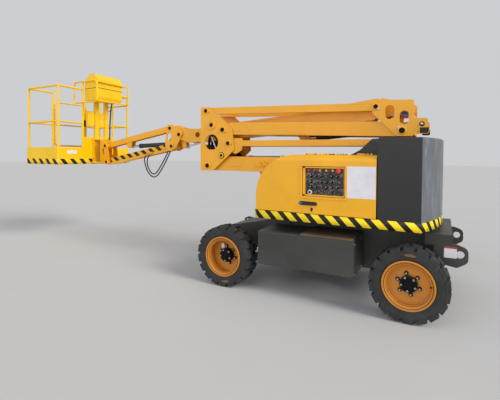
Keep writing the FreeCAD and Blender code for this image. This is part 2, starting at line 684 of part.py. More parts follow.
def hood_walls():
    """Walls beside the turret that carry the hoods' hinges."""
    top = HINGE_Z - 22
    front = HOOD_X[1] - 30
    wall = plate_xz([(HOOD_X[0] + 10, TABLE_Z[1], 0), (HOOD_X[0] + 10, top, 20),
                     (front, top, HOOD_FRONT_R - 30), (front, TABLE_Z[1], 0)],
                    (WALL_Y, WALL_Y + WALL_T))
    pieces = [wall]
    for x in HINGE_X:
        for end in (x - 16, x + HINGE_LEN + 0.5):
            pieces.append(plate_yz([(WALL_Y, top - 30, 0), (WALL_Y + WALL_T, top - 30, 0),
                                    (HINGE_Y + 8, HINGE_Z - 8, 0), (HINGE_Y + 8, HINGE_Z + 8, 7),
                                    (HINGE_Y - 8, HINGE_Z + 8, 7), (WALL_Y, HINGE_Z - 8, 0)],
                                   (end, end + 15.5)))
        pieces.append(bar(Vector(x - 10, HINGE_Y, HINGE_Z),
                          Vector(x + HINGE_LEN + 10, HINGE_Y, HINGE_Z), HINGE_PIN_R))
    put("hood_walls", pair(fused(*pieces)))


def hood(side):
    """Hood shell with a rounded front and shoulder, open inside and below."""
    low = TABLE_Z[1] + HOOD_LIFT
    x0, x1 = HOOD_X

    def form(inset, under, x_back):
        lengthwise = plate_xz([(x_back, under, 0), (x1 - inset, under, 0),
                               (x1 - inset, HOOD_TOP_Z - inset, HOOD_FRONT_R - inset),
                               (x_back, HOOD_TOP_Z - inset, 0)], (0, TABLE_HALF_Y + 50))
        crosswise = plate_yz([(HOOD_INNER_Y - (30 if inset else 0), under, 0),
                              (TABLE_HALF_Y - inset, under, 0),
                              (TABLE_HALF_Y - inset, HOOD_TOP_Z - inset, 70 - inset),
                              (HOOD_INNER_Y - (30 if inset else 0), HOOD_TOP_Z - inset, 0)],
                             (x0 - 50, x1 + 50))
        return lengthwise.common(crosswise)

    shell = form(0.0, low, x0).cut(form(HOOD_T, low - 30, x0 - 60))
    if side > 0:
        window = plate_xz([(WINDOW_X[0], WINDOW_Z[0], 12), (WINDOW_X[1], WINDOW_Z[0], 12),
                           (WINDOW_X[1], WINDOW_Z[1], 12), (WINDOW_X[0], WINDOW_Z[1], 12)],
                          (TABLE_HALF_Y - 60, TABLE_HALF_Y + 20))
        shell = shell.cut(window)
    pieces = [shell]
    for x in HINGE_X:
        leaf = fused(bar(Vector(x, HINGE_Y, HINGE_Z), Vector(x + HINGE_LEN, HINGE_Y, HINGE_Z),
                         HINGE_R),
                     box((x, x + HINGE_LEN), (HINGE_Y, HOOD_INNER_Y + 30),
                         (HOOD_TOP_Z - 2, HOOD_TOP_Z + 3)))
        pieces.append(leaf)
    whole = fused(*pieces)
    for x in HINGE_X:
        whole = whole.cut(bar(Vector(x - 1, HINGE_Y, HINGE_Z),
                              Vector(x + HINGE_LEN + 1, HINGE_Y, HINGE_Z),
                              HINGE_PIN_R + PIN_GAP))
    return whole if side > 0 else mirrored(whole)


def engine_block():
    """Diesel engine with its pump, fan shroud, air filter and silencer."""
    floor = TABLE_Z[1]
    y0 = -TABLE_HALF_Y + ENGINE_MARGIN_Y
    y1 = -HOOD_INNER_Y - ENGINE_INNER_Y
    width = y1 - y0
    middle = (y0 + y1) / 2
    x0, x1 = (HOOD_X[0] + x for x in ENGINE_X)
    pieces = []
    for in_x, in_y, low, high in ENGINE_TIERS:
        pieces.append(box((x0 + in_x, x1 - in_x), (y0 + in_y * width, y1 - in_y * width),
                          (floor + low, floor + high)))
    pieces.append(box((x1 + SHROUD_X[0], x1 + SHROUD_X[1]), (y0, y1),
                      (floor + SHROUD_Z[0], floor + SHROUD_Z[1])))
    for start, stop, aside, height, share in ENGINE_DRUMS:
        y = middle + aside * width
        pieces.append(bar(Vector(x0 + start, y, floor + height),
                          Vector(x0 + stop, y, floor + height), share * width))
    for x in (x0 + ENGINE_FOOT_X[0], x1 - ENGINE_FOOT_X[1]):
        pieces.append(box((x, x + ENGINE_FOOT), (y0, y1), (floor, floor + ENGINE_FOOT_Z)))
    return fused(*pieces)


def tank_block():
    """Hydraulic tank with a sloped corner and its filler."""
    floor = TABLE_Z[1]
    y0 = HOOD_INNER_Y + 30
    y1 = TABLE_HALF_Y - 90
    x0, x1 = WINDOW_X[1] + 40, HOOD_X[1] - 110
    low = plate_xz([(x0, floor, 0), (x1, floor, 0), (x1, floor + 250, 40), (x1 - 80, floor + 330, 40),
                    (x0, floor + 330, 20)], (y0, y1))
    filler = Part.makeCylinder(34, 60, Vector(x0 + 90, (y0 + y1) / 2, floor + 325))
    return fused(low, filler)


def hood_contents():
    """Ground control box on its pedestal, the engine and the hydraulic tank."""
    face = TABLE_HALF_Y - HOOD_T - CONSOLE_RECESS
    panel = box((WINDOW_X[0] - CONSOLE_LAP, WINDOW_X[1] + CONSOLE_LAP), (face - CONSOLE_DEPTH, face),
                (WINDOW_Z[0] - CONSOLE_LAP, WINDOW_Z[1] + CONSOLE_LAP))
    middle = (WINDOW_X[0] + WINDOW_X[1]) / 2
    pedestal = box((middle - PEDESTAL_HALF_X, middle + PEDESTAL_HALF_X),
                   (face - PEDESTAL_Y[0], face - PEDESTAL_Y[1]), (TABLE_Z[1], WINDOW_Z[0]))
    put("ground_console", fused(panel, pedestal))
    put("engine", engine_block())
    put("tank", tank_block())


# Riser

def arm_with_bosses(start, end, stations, y, boss_r, bore_r, boss_y=None):
    """Plate or beam with a boss and a bore at both pivots."""
    body = plate_xz(beam_corners(start, end, stations), y)
    boss_y = boss_y or y
    pieces = [body]
    for pivot in (start, end):
        pieces.append(across(pivot, boss_r, boss_y))
    whole = fused(*pieces)
    for pivot in (start, end):
        whole = whole.cut(across(pivot, bore_r, (boss_y[0] - 1, boss_y[1] + 1)))
    return whole


def hollow(start, end, t, w, y, thickness):
    """Room inside a box beam, to be cut from it."""
    inner = beam_corners(start, end, [(t[0], w[0] + thickness, 0), (t[1], w[0] + thickness, 0),
                                      (t[1], w[1] - thickness, 0), (t[0], w[1] - thickness, 0)])
    return plate_xz(inner, (y[0] + thickness, y[1] - thickness))


def lower_arm():
    """Wide box arm with pivot tubes, rounded ends and the riser cylinder's lugs."""
    run = run_length(K6, P6)
    h = LOWER_ARM_H / 2
    half = LOWER_ARM_HALF_Y
    body = plate_xz(beam_corners(K6, P6, [(-70, -60, 40), (60, -60, 60), (150, -h + 30, 60),
                                          (run + 60, -h + 30, 50), (run + 60, 55, 50),
                                          (run - 120, h + 35, 60), (90, h + 35, 60),
                                          (-70, 55, 40)]), (-half, half))
    tube = PLATE_Y - SIDE_GAP
    lug_x, lug_z = RISER_CYL[1]
    ear = plate_xz([(lug_x - 130, P6[1] - h + 40, 0), (lug_x - 40, lug_z - 42, 36),
                    (lug_x + 45, lug_z - 42, 36), (lug_x + 150, P6[1] - h + 40, 0)],
                   (EYE_HALF_Y + EYE_GAP, EYE_HALF_Y + EYE_GAP + EYE_PLATE_T))
    stub = across(RISER_CYL[1], 30, (EYE_HALF_Y + EYE_GAP, EYE_HALF_Y + EYE_GAP + 26))
    body = fused(body, across(K6, 62, (-tube, tube)), across(P6, 62, (-tube, tube)),
                 ear, mirrored(ear), stub, mirrored(stub))
    room = plate_xz(beam_corners(K6, P6, [(140, -h + 44, 0), (run - 130, -h + 44, 0),
                                          (run - 130, h + 20, 30), (140, h + 20, 30)]),
                    (-half + BOX_T, half - BOX_T))
    window = plate_xz(beam_corners(K6, P6, [(260, -h - 60, 0), (560, -h - 60, 0),
                                            (560, -h + 60, 0), (260, -h + 60, 0)]), (-90, 90))
    body = body.cut([room, window])
    for pivot in (K6, P6):
        body = body.cut(across(pivot, ARM_PIN_R + PIN_GAP, (-tube - 1, tube + 1)))
    put("lower_arm", body)


def lower_link():
    """Twin flat links above the lower arm, the left one with a lobe at its front end."""
    run = run_length(K4, P4)
    h = LOWER_LINK_H / 2
    bar_y = PAIR_Y
    link = arm_with_bosses(K4, P4, [(-36, -h, 30), (run + 36, -h, 30), (run + 36, h, 30),
                                    (-36, h, 30)], bar_y, 36, LINK_PIN_R + PIN_GAP)
    lx, lz = P4
    lobe = plate_xz([(lx - 25, lz + 68, 20), (lx - 210, lz + 68, 20), (lx - 204, lz - 90, 40),
                     (lx - 112, lz - 144, 40), (lx - 65, lz - 124, 30), (lx - 25, lz - 49, 30)],
                    (bar_y[1] - 20, bar_y[1]))
    lobe = lobe.cut(across(P4, LINK_PIN_R + PIN_GAP, bar_y))
    put("lower_link", Part.makeCompound([fused(link, lobe), mirrored(link)]))


def front_knuckle():
    """Two shaped plates with stub pins, a round window, a cross-plate and bosses."""
    plate = plate_xz(FRONT_KNUCKLE_SIDE, (PLATE_Y, PLATE_Y + PLATE_T))
    plate = plate.cut(across(ROUND_WINDOW, ROUND_WINDOW_R, (PLATE_Y, PLATE_Y + PLATE_T)))
    plate = plate.cut(across(LOWER_HOLE, KNUCKLE_HOLE_R, (PLATE_Y, PLATE_Y + PLATE_T)))
    ring = across(UPPER_RING, KNUCKLE_HOLE_R + 18, (PLATE_Y + 2, PLATE_Y + PLATE_T + 14))
    ring = ring.cut(across(UPPER_RING, KNUCKLE_HOLE_R, (PLATE_Y + 2, PLATE_Y + PLATE_T + 15)))
    pieces = [plate, ring]
    for pivot, radius in ((P1, LINK_PIN_R), (P3, ARM_PIN_R), (P4, LINK_PIN_R)):
        pieces.append(across(pivot, radius, (PAIR_Y[0] - 4, PLATE_Y + PLATE_T + 4)))
        pieces.append(across(pivot, radius + 16, (PLATE_Y + 1, PLATE_Y + PLATE_T + 2)))
    side = fused(*pieces)
    outer_y = PLATE_Y + PLATE_T + 4
    pieces = [side, mirrored(side), across(P6, ARM_PIN_R, (-outer_y, outer_y))]
    wide = (-PLATE_Y - WEB_LAP, PLATE_Y + WEB_LAP)
    pieces.append(box(FRONT_WEB_X, wide, FRONT_WEB_Z))
    pieces.append(box(FRONT_SHELF_X, wide, (FRONT_SHELF_Z, FRONT_SHELF_Z + WEB_T)))
    put("front_knuckle", fused(*pieces))


def upper_arm():
    """Twin box arms beside the main boom, deeper above the line of their pivots."""
    run = run_length(P3, R2)
    # the line runs from the front pivot to the rear one, so below is positive w
    above, below = UPPER_ARM_W
    beam = arm_with_bosses(P3, R2, [(-55, -60, 50), (130, above, 60), (run - 110, above, 60),
                                    (run + 60, -60, 50), (run + 60, below, 50),
                                    (-55, below, 50)],
                           PAIR_Y, 60, ARM_PIN_R + PIN_GAP)
    room = hollow(P3, R2, (150, run - 130), UPPER_ARM_W, PAIR_Y, BOX_T)
    beam = beam.cut(room)
    put("upper_arm", pair(beam))


def upper_link():
    """Twin links above the upper arm, with a top edge that rises towards the rear pivot."""
    run = run_length(P1, R1)
    h = UPPER_LINK_H / 2
    link = arm_with_bosses(P1, R1, [(-40, -h, 36), (run - UPPER_LINK_RISE[0], -h, 200),
                                    (run + 20, -h - UPPER_LINK_RISE[1], 20),
                                    (run + 40, -h - UPPER_LINK_RISE[1] + 25, 20),
                                    (run + 40, h, 36), (-40, h, 36)],
                           PAIR_Y, 42, LINK_PIN_R + PIN_GAP)
    room = hollow(P1, R1, (80, run - 80), (-h, h), PAIR_Y, BOX_T)
    put("upper_link", pair(link.cut(room)))


def rear_knuckle():
    """Two plates with slots, the boom's pivot and the lift cylinder's ears between them."""
    plate = plate_xz(REAR_KNUCKLE_SIDE, (PLATE_Y, PLATE_Y + PLATE_T))
    through = (PLATE_Y - 1, PLATE_Y + PLATE_T + 1)
    half = REAR_SLOT_HALF_X
    for x, z0, z1 in REAR_SLOTS:
        slot = plate_xz([(x - half, z0, half - 1), (x + half, z0, half - 1),
                         (x + half, z1, half - 1), (x - half, z1, half - 1)], through)
        plate = plate.cut(slot)
    plate = plate.cut(across(BRACKET_HOLE, BRACKET_HOLE_R, through))
    pieces = [plate]
    for pivot, radius in ((R1, LINK_PIN_R), (R2, ARM_PIN_R)):
        pieces.append(across(pivot, radius, (PAIR_Y[0] - 4, PLATE_Y + PLATE_T + 4)))
        pieces.append(across(pivot, radius + 16, (PLATE_Y + 1, PLATE_Y + PLATE_T + 2)))
    side = fused(*pieces)
    outer_y = PLATE_Y + PLATE_T
    wide = (-PLATE_Y - 4, PLATE_Y + 4)
    pieces = [side, mirrored(side), across(V, BOOM_PIN_R, (-outer_y, outer_y)),
              box((10, 24), wide, (1775, 1990))]
    bx, bz = LIFT_CYL[0]
    ear = plate_xz([(15, bz - 75, 0), (bx + 5, bz - 52, 40), (bx + 55, bz, 40),
                    (bx + 5, bz + 48, 40), (15, bz + 70, 0)],
                   (EYE_HALF_Y + EYE_GAP, EYE_HALF_Y + EYE_GAP + 16))
    pieces.extend([ear, mirrored(ear), across(LIFT_CYL[0], 22, (-54, 54))])
    put("rear_knuckle", fused(*pieces))


# Main boom

def boom_point(u, w):
    """Point (x, z) of the main boom's own line."""
    angle = math.radians(BOOM_DROP)
    return (V[0] + u * math.cos(angle) + w * math.sin(angle),
            V[1] - u * math.sin(angle) + w * math.cos(angle))


def boom_plate(stations, y):
    """Plate whose outline is given in the boom's own line."""
    corners = []
    for u, w, radius in stations:
        x, z = boom_point(u, w)
        corners.append((x, z, radius))
    return plate_xz(corners, y)


def fly_w():
    """Lower and upper face of the fly boom, central in the main boom."""
    middle = (BOOM_W[0] + BOOM_W[1]) / 2
    return (middle - FLY_H / 2, middle + FLY_H / 2)


def main_boom():
    """Box boom with a tapered tail, a collar, wear pads and the lift cylinder's lugs."""
    low, high = BOOM_W
    half = BOOM_HALF_Y
    tail = BOOM_TAIL_R
    body = boom_plate([(-tail, -tail, tail - 2), (300, -tail, 120), (BOOM_DEEP_U, low, 120),
                       (BOOM_FRONT_U, low, 0), (BOOM_FRONT_U, high, 0), (260, high, 120),
                       (0, tail, 60), (-tail, tail, tail - 2)], (-half, half))
    tube = PLATE_Y - SIDE_GAP
    collar = boom_plate([(BOOM_FRONT_U - 70, low - 8, 0), (BOOM_FRONT_U, low - 8, 0),
                         (BOOM_FRONT_U, high + 8, 0), (BOOM_FRONT_U - 70, high + 8, 0)],
                        (-half - 8, half + 8))
    lug_x, lug_z = LIFT_CYL[1]
    ear = plate_xz([(lug_x - 120, lug_z + 120, 0), (lug_x - 38, lug_z - 36, 32),
                    (lug_x + 38, lug_z - 36, 32), (lug_x + 130, lug_z + 100, 0)],
                   (EYE_HALF_Y + EYE_GAP, EYE_HALF_Y + EYE_GAP + EYE_PLATE_T))
    stub = across(LIFT_CYL[1], 28, (EYE_HALF_Y + EYE_GAP, EYE_HALF_Y + EYE_GAP + 24))
    body = fused(body, collar, across(V, 52, (-tube, tube)), ear, mirrored(ear),
                 stub, mirrored(stub))
    room = boom_plate([(FLY_TAIL_U - 30, low + BOOM_T, 0),
                       (BOOM_FRONT_U + 10, low + BOOM_T, 0),
                       (BOOM_FRONT_U + 10, high - BOOM_T, 0),
                       (FLY_TAIL_U - 30, high - BOOM_T, 0)], (-half + BOOM_T, half - BOOM_T))
    body = body.cut([room, across(V, BOOM_PIN_R + PIN_GAP, (-tube - 1, tube + 1))])
    put("main_boom", body)
    frame = boom_plate([(BOOM_FRONT_U - PAD_LEN, low + BOOM_T, 0),
                        (BOOM_FRONT_U - 4, low + BOOM_T, 0),
                        (BOOM_FRONT_U - 4, high - BOOM_T, 0),
                        (BOOM_FRONT_U - PAD_LEN, high - BOOM_T, 0)],
                       (-half + BOOM_T, half - BOOM_T))
    f0, f1 = fly_w()
    hole = boom_plate([(BOOM_FRONT_U - PAD_LEN - 5, f0 - SEAT_GAP, 0),
                       (BOOM_FRONT_U + 5, f0 - SEAT_GAP, 0),
                       (BOOM_FRONT_U + 5, f1 + SEAT_GAP, 0),
                       (BOOM_FRONT_U - PAD_LEN - 5, f1 + SEAT_GAP, 0)],
                      (-FLY_HALF_Y - SEAT_GAP, FLY_HALF_Y + SEAT_GAP))
    notch = boom_plate([(BOOM_FRONT_U - PAD_LEN - 5, low, 0), (BOOM_FRONT_U + 5, low, 0),
                        (BOOM_FRONT_U + 5, f0 + 5, 0), (BOOM_FRONT_U - PAD_LEN - 5, f0 + 5, 0)],
                       (-NOTCH_HALF_Y, NOTCH_HALF_Y))
    put("boom_pads", frame.cut([hole, notch]))


def fly_boom():
    """Inner boom with a slotted floor, a round window and a two-plate nose."""
    f0, f1 = fly_w()
    half = FLY_HALF_Y
    body = boom_plate([(FLY_TAIL_U, f0, 0), (FLY_BOX_U, f0, 0), (FLY_BOX_U, f1, 0),
                       (FLY_TAIL_U, f1, 0)], (-half, half))
    nx, nz = N
    x0 = nx - NOSE_BACK
    nose = plate_xz([(x0, nz - 102, 0), (nx - 132, nz - 116, 20), (nx - 60, nz - 84, 60),
                     (nx + 20, nz - 84, 60), (nx + 66, nz - 30, 40), (nx + 66, nz + 96, 30),
                     (nx + 33, nz + 121, 20), (nx - 127, nz + 85, 40), (x0, nz + 81, 0)],
                    (half - NOSE_T, half))
    body = fused(body, nose, mirrored(nose))
    room = boom_plate([(FLY_TAIL_U - 5, f0 + BOX_T, 0), (FLY_BOX_U + 5, f0 + BOX_T, 0),
                       (FLY_BOX_U + 5, f1 - BOX_T, 0), (FLY_TAIL_U - 5, f1 - BOX_T, 0)],
                      (-half + 12, half - 12))
    slot = boom_plate([(2420, f0 - 5, 0), (FLY_BOX_U + 5, f0 - 5, 0),
                       (FLY_BOX_U + 5, f0 + 20, 0), (2420, f0 + 20, 0)],
                      (-SLOT_HALF_Y, SLOT_HALF_Y))
    body = body.cut([room, slot])
    boss = across(N, 42, (half - 14, JIB_PLATE_Y - SEAT_GAP))
    body = fused(body, boss, mirrored(boss))
    body = body.cut(across(N, JIB_PIN_R + 2 + PIN_GAP, (-half - 20, half + 20)))
    body = body.cut(across(FLY_WINDOW, FLY_WINDOW_R, (-half - 5, half + 5)))
    base = LEVEL_CYL[0]
    body = fused(body, across(base, 12, (-half + 6, half - 6)))
    put("fly_boom", body)


# Jib

def jib_knuckle():
    """Two plates between the boom's nose and the jib, with ears for two cylinders."""
    plate = plate_xz(JIB_KNUCKLE_SIDE, (JIB_PLATE_Y, JIB_PLATE_Y + JIB_PLATE_T))
    slot = plate_xz([(3407, 1748, 38), (3487, 1748, 38), (3487, 1878, 38), (3407, 1878, 38)],
                    (JIB_PLATE_Y - 1, JIB_PLATE_Y + JIB_PLATE_T + 1))
    plate = plate.cut(slot)
    outer = JIB_PLATE_Y + JIB_PLATE_T + 4
    pieces = [plate, mirrored(plate), across(JIB_TOP, JIB_PIN_R, (-outer, outer)),
              across(JIB_LOW, JIB_PIN_R, (-outer, outer)), across(N, JIB_PIN_R + 2, (-outer, outer))]
    wide = (-JIB_PLATE_Y - 4, JIB_PLATE_Y + 4)
    pieces.append(box((N[0] + 86, N[0] + 99), wide, (N[1] + 106, N[1] + 134)))
    nx, nz = N
    bx, bz = JIB_CYL[0]
    ex, ez = LEVEL_CYL[1]
    ear_y = (EYE_HALF_Y + EYE_GAP, EYE_HALF_Y + EYE_GAP + EYE_PLATE_T)
    ear = plate_xz([(nx - 30, nz + 34, 28), (nx + 40, nz + 34, 28), (bx - 30, bz + 96, 50),
                    (bx + 28, bz + 20, 26), (bx + 22, bz - 28, 24), (bx - 26, bz - 26, 24),
                    (bx - 60, bz + 50, 40), (nx + 40, nz - 52, 40), (ex + 36, ez - 24, 24),
                    (ex - 24, ez - 26, 22), (ex - 26, ez + 22, 24)], ear_y)
    pieces.extend([ear, mirrored(ear)])
    for pin in (JIB_CYL[0], LEVEL_CYL[1]):
        pieces.append(across(pin, LUG_PIN_R, (-ear_y[1] - 4, -ear_y[0] + 2)))
        pieces.append(across(pin, LUG_PIN_R, (ear_y[0] - 2, ear_y[1] + 4)))
    pieces.append(across(JIB_CYL[0], BASE_PINS["jib_cylinder"], (-ear_y[1], ear_y[1])))
    put("jib_knuckle", fused(*pieces))


def jib_link():
    """Top link of the jib, a channel open below, with the jib cylinder's lugs."""
    run = run_length(JIB_TOP, HEAD_TOP)
    h = JIB_LINK_H / 2
    half = JIB_LINK_HALF_Y
    stations = [(-30, -h + 14, 30), (run + 30, -h + 14, 30), (run + 30, h - 6, 34),
                (run - 60, h, 60), (60, h, 60), (-30, h - 6, 34)]
    body = plate_xz(beam_corners(JIB_TOP, HEAD_TOP, stations), (-half, half))
    room = plate_xz(beam_corners(JIB_TOP, HEAD_TOP,
                                 [(60, -h - 40, 0), (run - 60, -h - 40, 0),
                                  (run - 60, h - JIB_LINK_T, 0), (60, h - JIB_LINK_T, 0)]),
                    (-half + JIB_LINK_T, half - JIB_LINK_T))
    tube = JIB_PLATE_Y - SIDE_GAP
    lug_x, lug_z = JIB_CYL[1]
    ear = plate_xz([(lug_x - 60, lug_z + 90, 0), (lug_x - 34, lug_z - 26, 26),
                    (lug_x + 34, lug_z - 26, 26), (lug_x + 60, lug_z + 80, 0)],
                   (half - JIB_LINK_T - 10, half - JIB_LINK_T + 2))
    stub = across(JIB_CYL[1], LUG_PIN_R, (half - JIB_LINK_T - 10, half))
    body = fused(body.cut(room), across(JIB_TOP, JIB_BOSS_R, (-tube, tube)),
                 across(HEAD_TOP, JIB_BOSS_R, (-tube, tube)), ear, mirrored(ear),
                 stub, mirrored(stub))
    for pivot in (JIB_TOP, HEAD_TOP):
        body = body.cut(across(pivot, JIB_PIN_R + PIN_GAP, (-tube - 1, tube + 1)))
    put("jib_link", body)


def jib_arm():
    """Lower arm of the jib: two plates on pivot tubes, a web near the head, two hose fittings."""
    run = run_length(JIB_LOW, HEAD_LOW)
    h = JIB_ARM_H / 2
    end = JIB_BOSS_R + 3
    stations = [(-end, -end, end - 2), (60, -h, 60), (run - 60, -h, 60),
                (run + end, -end, end - 2), (run + end, end, end - 2), (run - 60, h, 60),
                (60, h, 60), (-end, end, end - 2)]
    side = plate_xz(beam_corners(JIB_LOW, HEAD_LOW, stations), JIB_ARM_Y)
    web = plate_xz(beam_corners(JIB_LOW, HEAD_LOW, [(800, -h, 0), (run - 70, -h, 0),
                                                    (run - 70, -h + 8, 0), (800, -h + 8, 0)]),
                   (-JIB_ARM_Y[0] - 4, JIB_ARM_Y[0] + 4))
    tube = JIB_PLATE_Y - SIDE_GAP
    fittings = []
    for route in (OUTER_HOSE, INNER_HOSE):
        start = Vector(route[0][0], HOSE_Y, route[0][1])
        heading = Vector(route[1][0], HOSE_Y, route[1][1]) - start
        heading.normalize()
        fittings.append(bar(start - heading * FITTING_LEN, start - heading * SEAT_GAP, FITTING_R))
    body = fused(side, mirrored(side), web, across(JIB_LOW, JIB_BOSS_R - 2, (-tube, tube)),
                 across(HEAD_LOW, JIB_BOSS_R - 2, (-tube, tube)), *fittings)
    for pivot in (JIB_LOW, HEAD_LOW):
        body = body.cut(across(pivot, JIB_PIN_R + PIN_GAP, (-tube - 1, tube + 1)))
    put("jib_arm", body)


def jib_head():
    """Bracket at the jib's end with the housing of the platform's turning pin."""
    tx, tz = HEAD_TOP
    lx, lz = HEAD_LOW
    outline = [(tx - 30, tz + 52, 30), (tx + 60, tz + 58, 20), (ROTATE_X - 30, ROTATE_Z[1], 10),
               (ROTATE_X - 30, ROTATE_Z[0] + 4, 10), (lx + 62, ROTATE_Z[0] + 4, 10),
               (lx + 42, lz - 36, 20), (lx - 44, lz - 40, 34), (lx - 52, lz + 60, 40),
               (tx - 48, tz - 20, 34)]
    plate = plate_xz(outline, (JIB_PLATE_Y, JIB_PLATE_Y + JIB_PLATE_T))
    slot = plate_xz([(tx + 34, 1530, 20), (tx + 76, 1530, 20), (tx + 76, 1640, 20),
                     (tx + 34, 1640, 20)], (JIB_PLATE_Y - 1, JIB_PLATE_Y + JIB_PLATE_T + 1))
    plate = plate.cut(slot)
    outer = JIB_PLATE_Y + JIB_PLATE_T + 4
    housing = Part.makeCylinder(ROTATE_R, ROTATE_Z[1] - ROTATE_Z[0],
                                Vector(ROTATE_X, 0, ROTATE_Z[0]))
    web = box((ROTATE_X - 48, ROTATE_X - 30), (-JIB_PLATE_Y - 4, JIB_PLATE_Y + 4), ROTATE_Z)
    body = fused(plate, mirrored(plate), housing, web,
                 across(HEAD_TOP, JIB_PIN_R, (-outer, outer)),
                 across(HEAD_LOW, JIB_PIN_R, (-outer, outer)))
    body = body.cut(Part.makeCylinder(ROTATE_PIN_R + PIN_GAP, 600,
                                      Vector(ROTATE_X, 0, ROTATE_Z[0] - 50)))
    put("jib_head", body)


# Platform

def cage_outline(inset, corner):
    x0, x1 = CAGE_X
    y = CAGE_HALF_Y - inset
    return [(x0 + inset, -y, corner), (x1 - inset, -y, corner), (x1 - inset, y, corner),
            (x0 + inset, y, corner)]


def platform_mount():
    """Plates, turning pin and masts that carry the cage and the console."""
    z0, z1 = ROTATE_Z
    plate = [(ROTATE_X - 70, -70, 60), (ROTATE_X + 40, -80, 10), (CAGE_X[0], -190, 0),
             (CAGE_X[0], 120, 0), (ROTATE_X + 40, 80, 10), (ROTATE_X - 70, 70, 60)]
    low = plate_xy(plate, (z0 - SEAT_GAP - 25, z0 - SEAT_GAP))
    high = plate_xy(plate, (z1 + SEAT_GAP, z1 + SEAT_GAP + 22))
    pin = Part.makeCylinder(ROTATE_PIN_R, z1 - z0 + 50, Vector(ROTATE_X, 0, z0 - 25))
    pieces = [low, high, pin]
    for y in MAST_Y:
        pieces.append(box((CAGE_X[0] - MAST_D, CAGE_X[0]), (y - MAST_W / 2, y + MAST_W / 2),
                          (z0 - 20, BOX_Z[0])))
    gusset = plate_xz([(CAGE_X[0] - 60, CAGE_LOW_Z + 12, 10), (CAGE_X[0], CAGE_LOW_Z + 12, 0),
                       (CAGE_X[0], 1830, 0), (CAGE_X[0] - MAST_D, 1830, 10)], (92, 104))
    pieces.append(gusset)
    pieces.append(box((CAGE_X[0] - MAST_D, CAGE_X[0] - 4), (MAST_Y[1], 100), (z0 - 20, z0 + 60)))
    put("platform_mount", fused(*pieces))


def toe_boards():
    """Floor with the kick boards round it and a higher plate between the rear posts."""
    ring = plate_xy(cage_outline(0, CAGE_CORNER_R), (CAGE_LOW_Z, TOE_Z))
    room = plate_xy(cage_outline(TOE_T, CAGE_CORNER_R - TOE_T),
                    (CAGE_LOW_Z + FLOOR_T, TOE_Z + 5))
    back = box((CAGE_X[0], CAGE_X[0] + TOE_T), (REAR_POST_Y[1], REAR_POST_Y[0]),
               (TOE_Z - 20, BACK_PLATE_Z))
    body = fused(ring.cut(room), back)
    gap = box((CAGE_X[1] - 60, CAGE_X[1] + 10), (GATE_Y[1] + 20, GATE_Y[0] - 20),
              (CAGE_LOW_Z + 120, TOE_Z + 5))
    put("platform_floor", body.cut(gap))


def rear_post(y, radius):
    """Post at the rear face of the cage, up to the console's guard."""
    x = CAGE_X[0] + TOE_T + RAIL_R + 1
    return bar(Vector(x, y, CAGE_LOW_Z + FLOOR_T), Vector(x, y, GUARD_Z[1]), radius)


def console_guard():
    """Round tubes before the console: a closed loop at each end and two rails between them."""
    outer, reach = GUARD_X
    low, high = GUARD_Z
    middle = (outer + reach) / 2
    tubes = []
    for y in GUARD_Y:
        route = [(middle, high), (reach, high), (reach, low), (outer, low), (outer, high),
                 (middle, high)]
        tubes.append(bent_tube([Vector(x, y, z) for x, z in route], GUARD_BEND, GUARD_R))
    inset = GUARD_BEND * (1 - math.sqrt(0.5))
    for z in (low + inset, high - inset):
        x = outer + inset
        tubes.append(bar(Vector(x, GUARD_Y[0], z), Vector(x, GUARD_Y[1], z), GUARD_RAIL_R))
    # the loops are coped round the posts that carry them
    posts = [rear_post(y, RAIL_R + PIN_GAP) for y in REAR_POST_Y]
    put("console_guard", fused(*tubes).cut(posts))


def cage():
    """Guard rails: top rail, middle rails and posts of round tube."""
    x0 = CAGE_X[0] + TOE_T + RAIL_R + 1
    x1 = CAGE_X[1] - TOE_T - RAIL_R - 1
    y = CAGE_HALF_Y - TOE_T - RAIL_R - 1
    top = CAGE_TOP_Z - RAIL_R
    foot = CAGE_LOW_Z + FLOOR_T
    bend = CAGE_CORNER_R
    g0, g1 = GATE_Y
    left = bent_tube([Vector(x1, g0, foot), Vector(x1, g0, top), Vector(x1, y, top),
                      Vector(x0, y, top), Vector(x0, REAR_POST_Y[0], top)], bend, RAIL_R)
    right = bent_tube([Vector(x0, REAR_POST_Y[1], top), Vector(x0, -y, top), Vector(x1, -y, top),
                       Vector(x1, g1, top), Vector(x1, g1, foot)], bend, RAIL_R)
    pieces = [left, right]
    mid = CAGE_MID_Z
    pieces.append(bent_tube([Vector(x1, g0, mid), Vector(x1, y, mid), Vector(x0, y, mid),
                             Vector(x0, REAR_POST_Y[0], mid)], bend, RAIL_R - 2))
    pieces.append(bent_tube([Vector(x0, REAR_POST_Y[1], mid), Vector(x0, -y, mid),
                             Vector(x1, -y, mid), Vector(x1, g1, mid)], bend, RAIL_R - 2))
    inset = 3
    for px in (x0 + inset, x1 - inset):
        for py in (y - inset, inset - y):
            pieces.append(bar(Vector(px, py, foot), Vector(px, py, top), RAIL_R))
    for py in REAR_POST_Y:
        pieces.append(rear_post(py, RAIL_R))
    put("platform_rails", fused(*pieces))


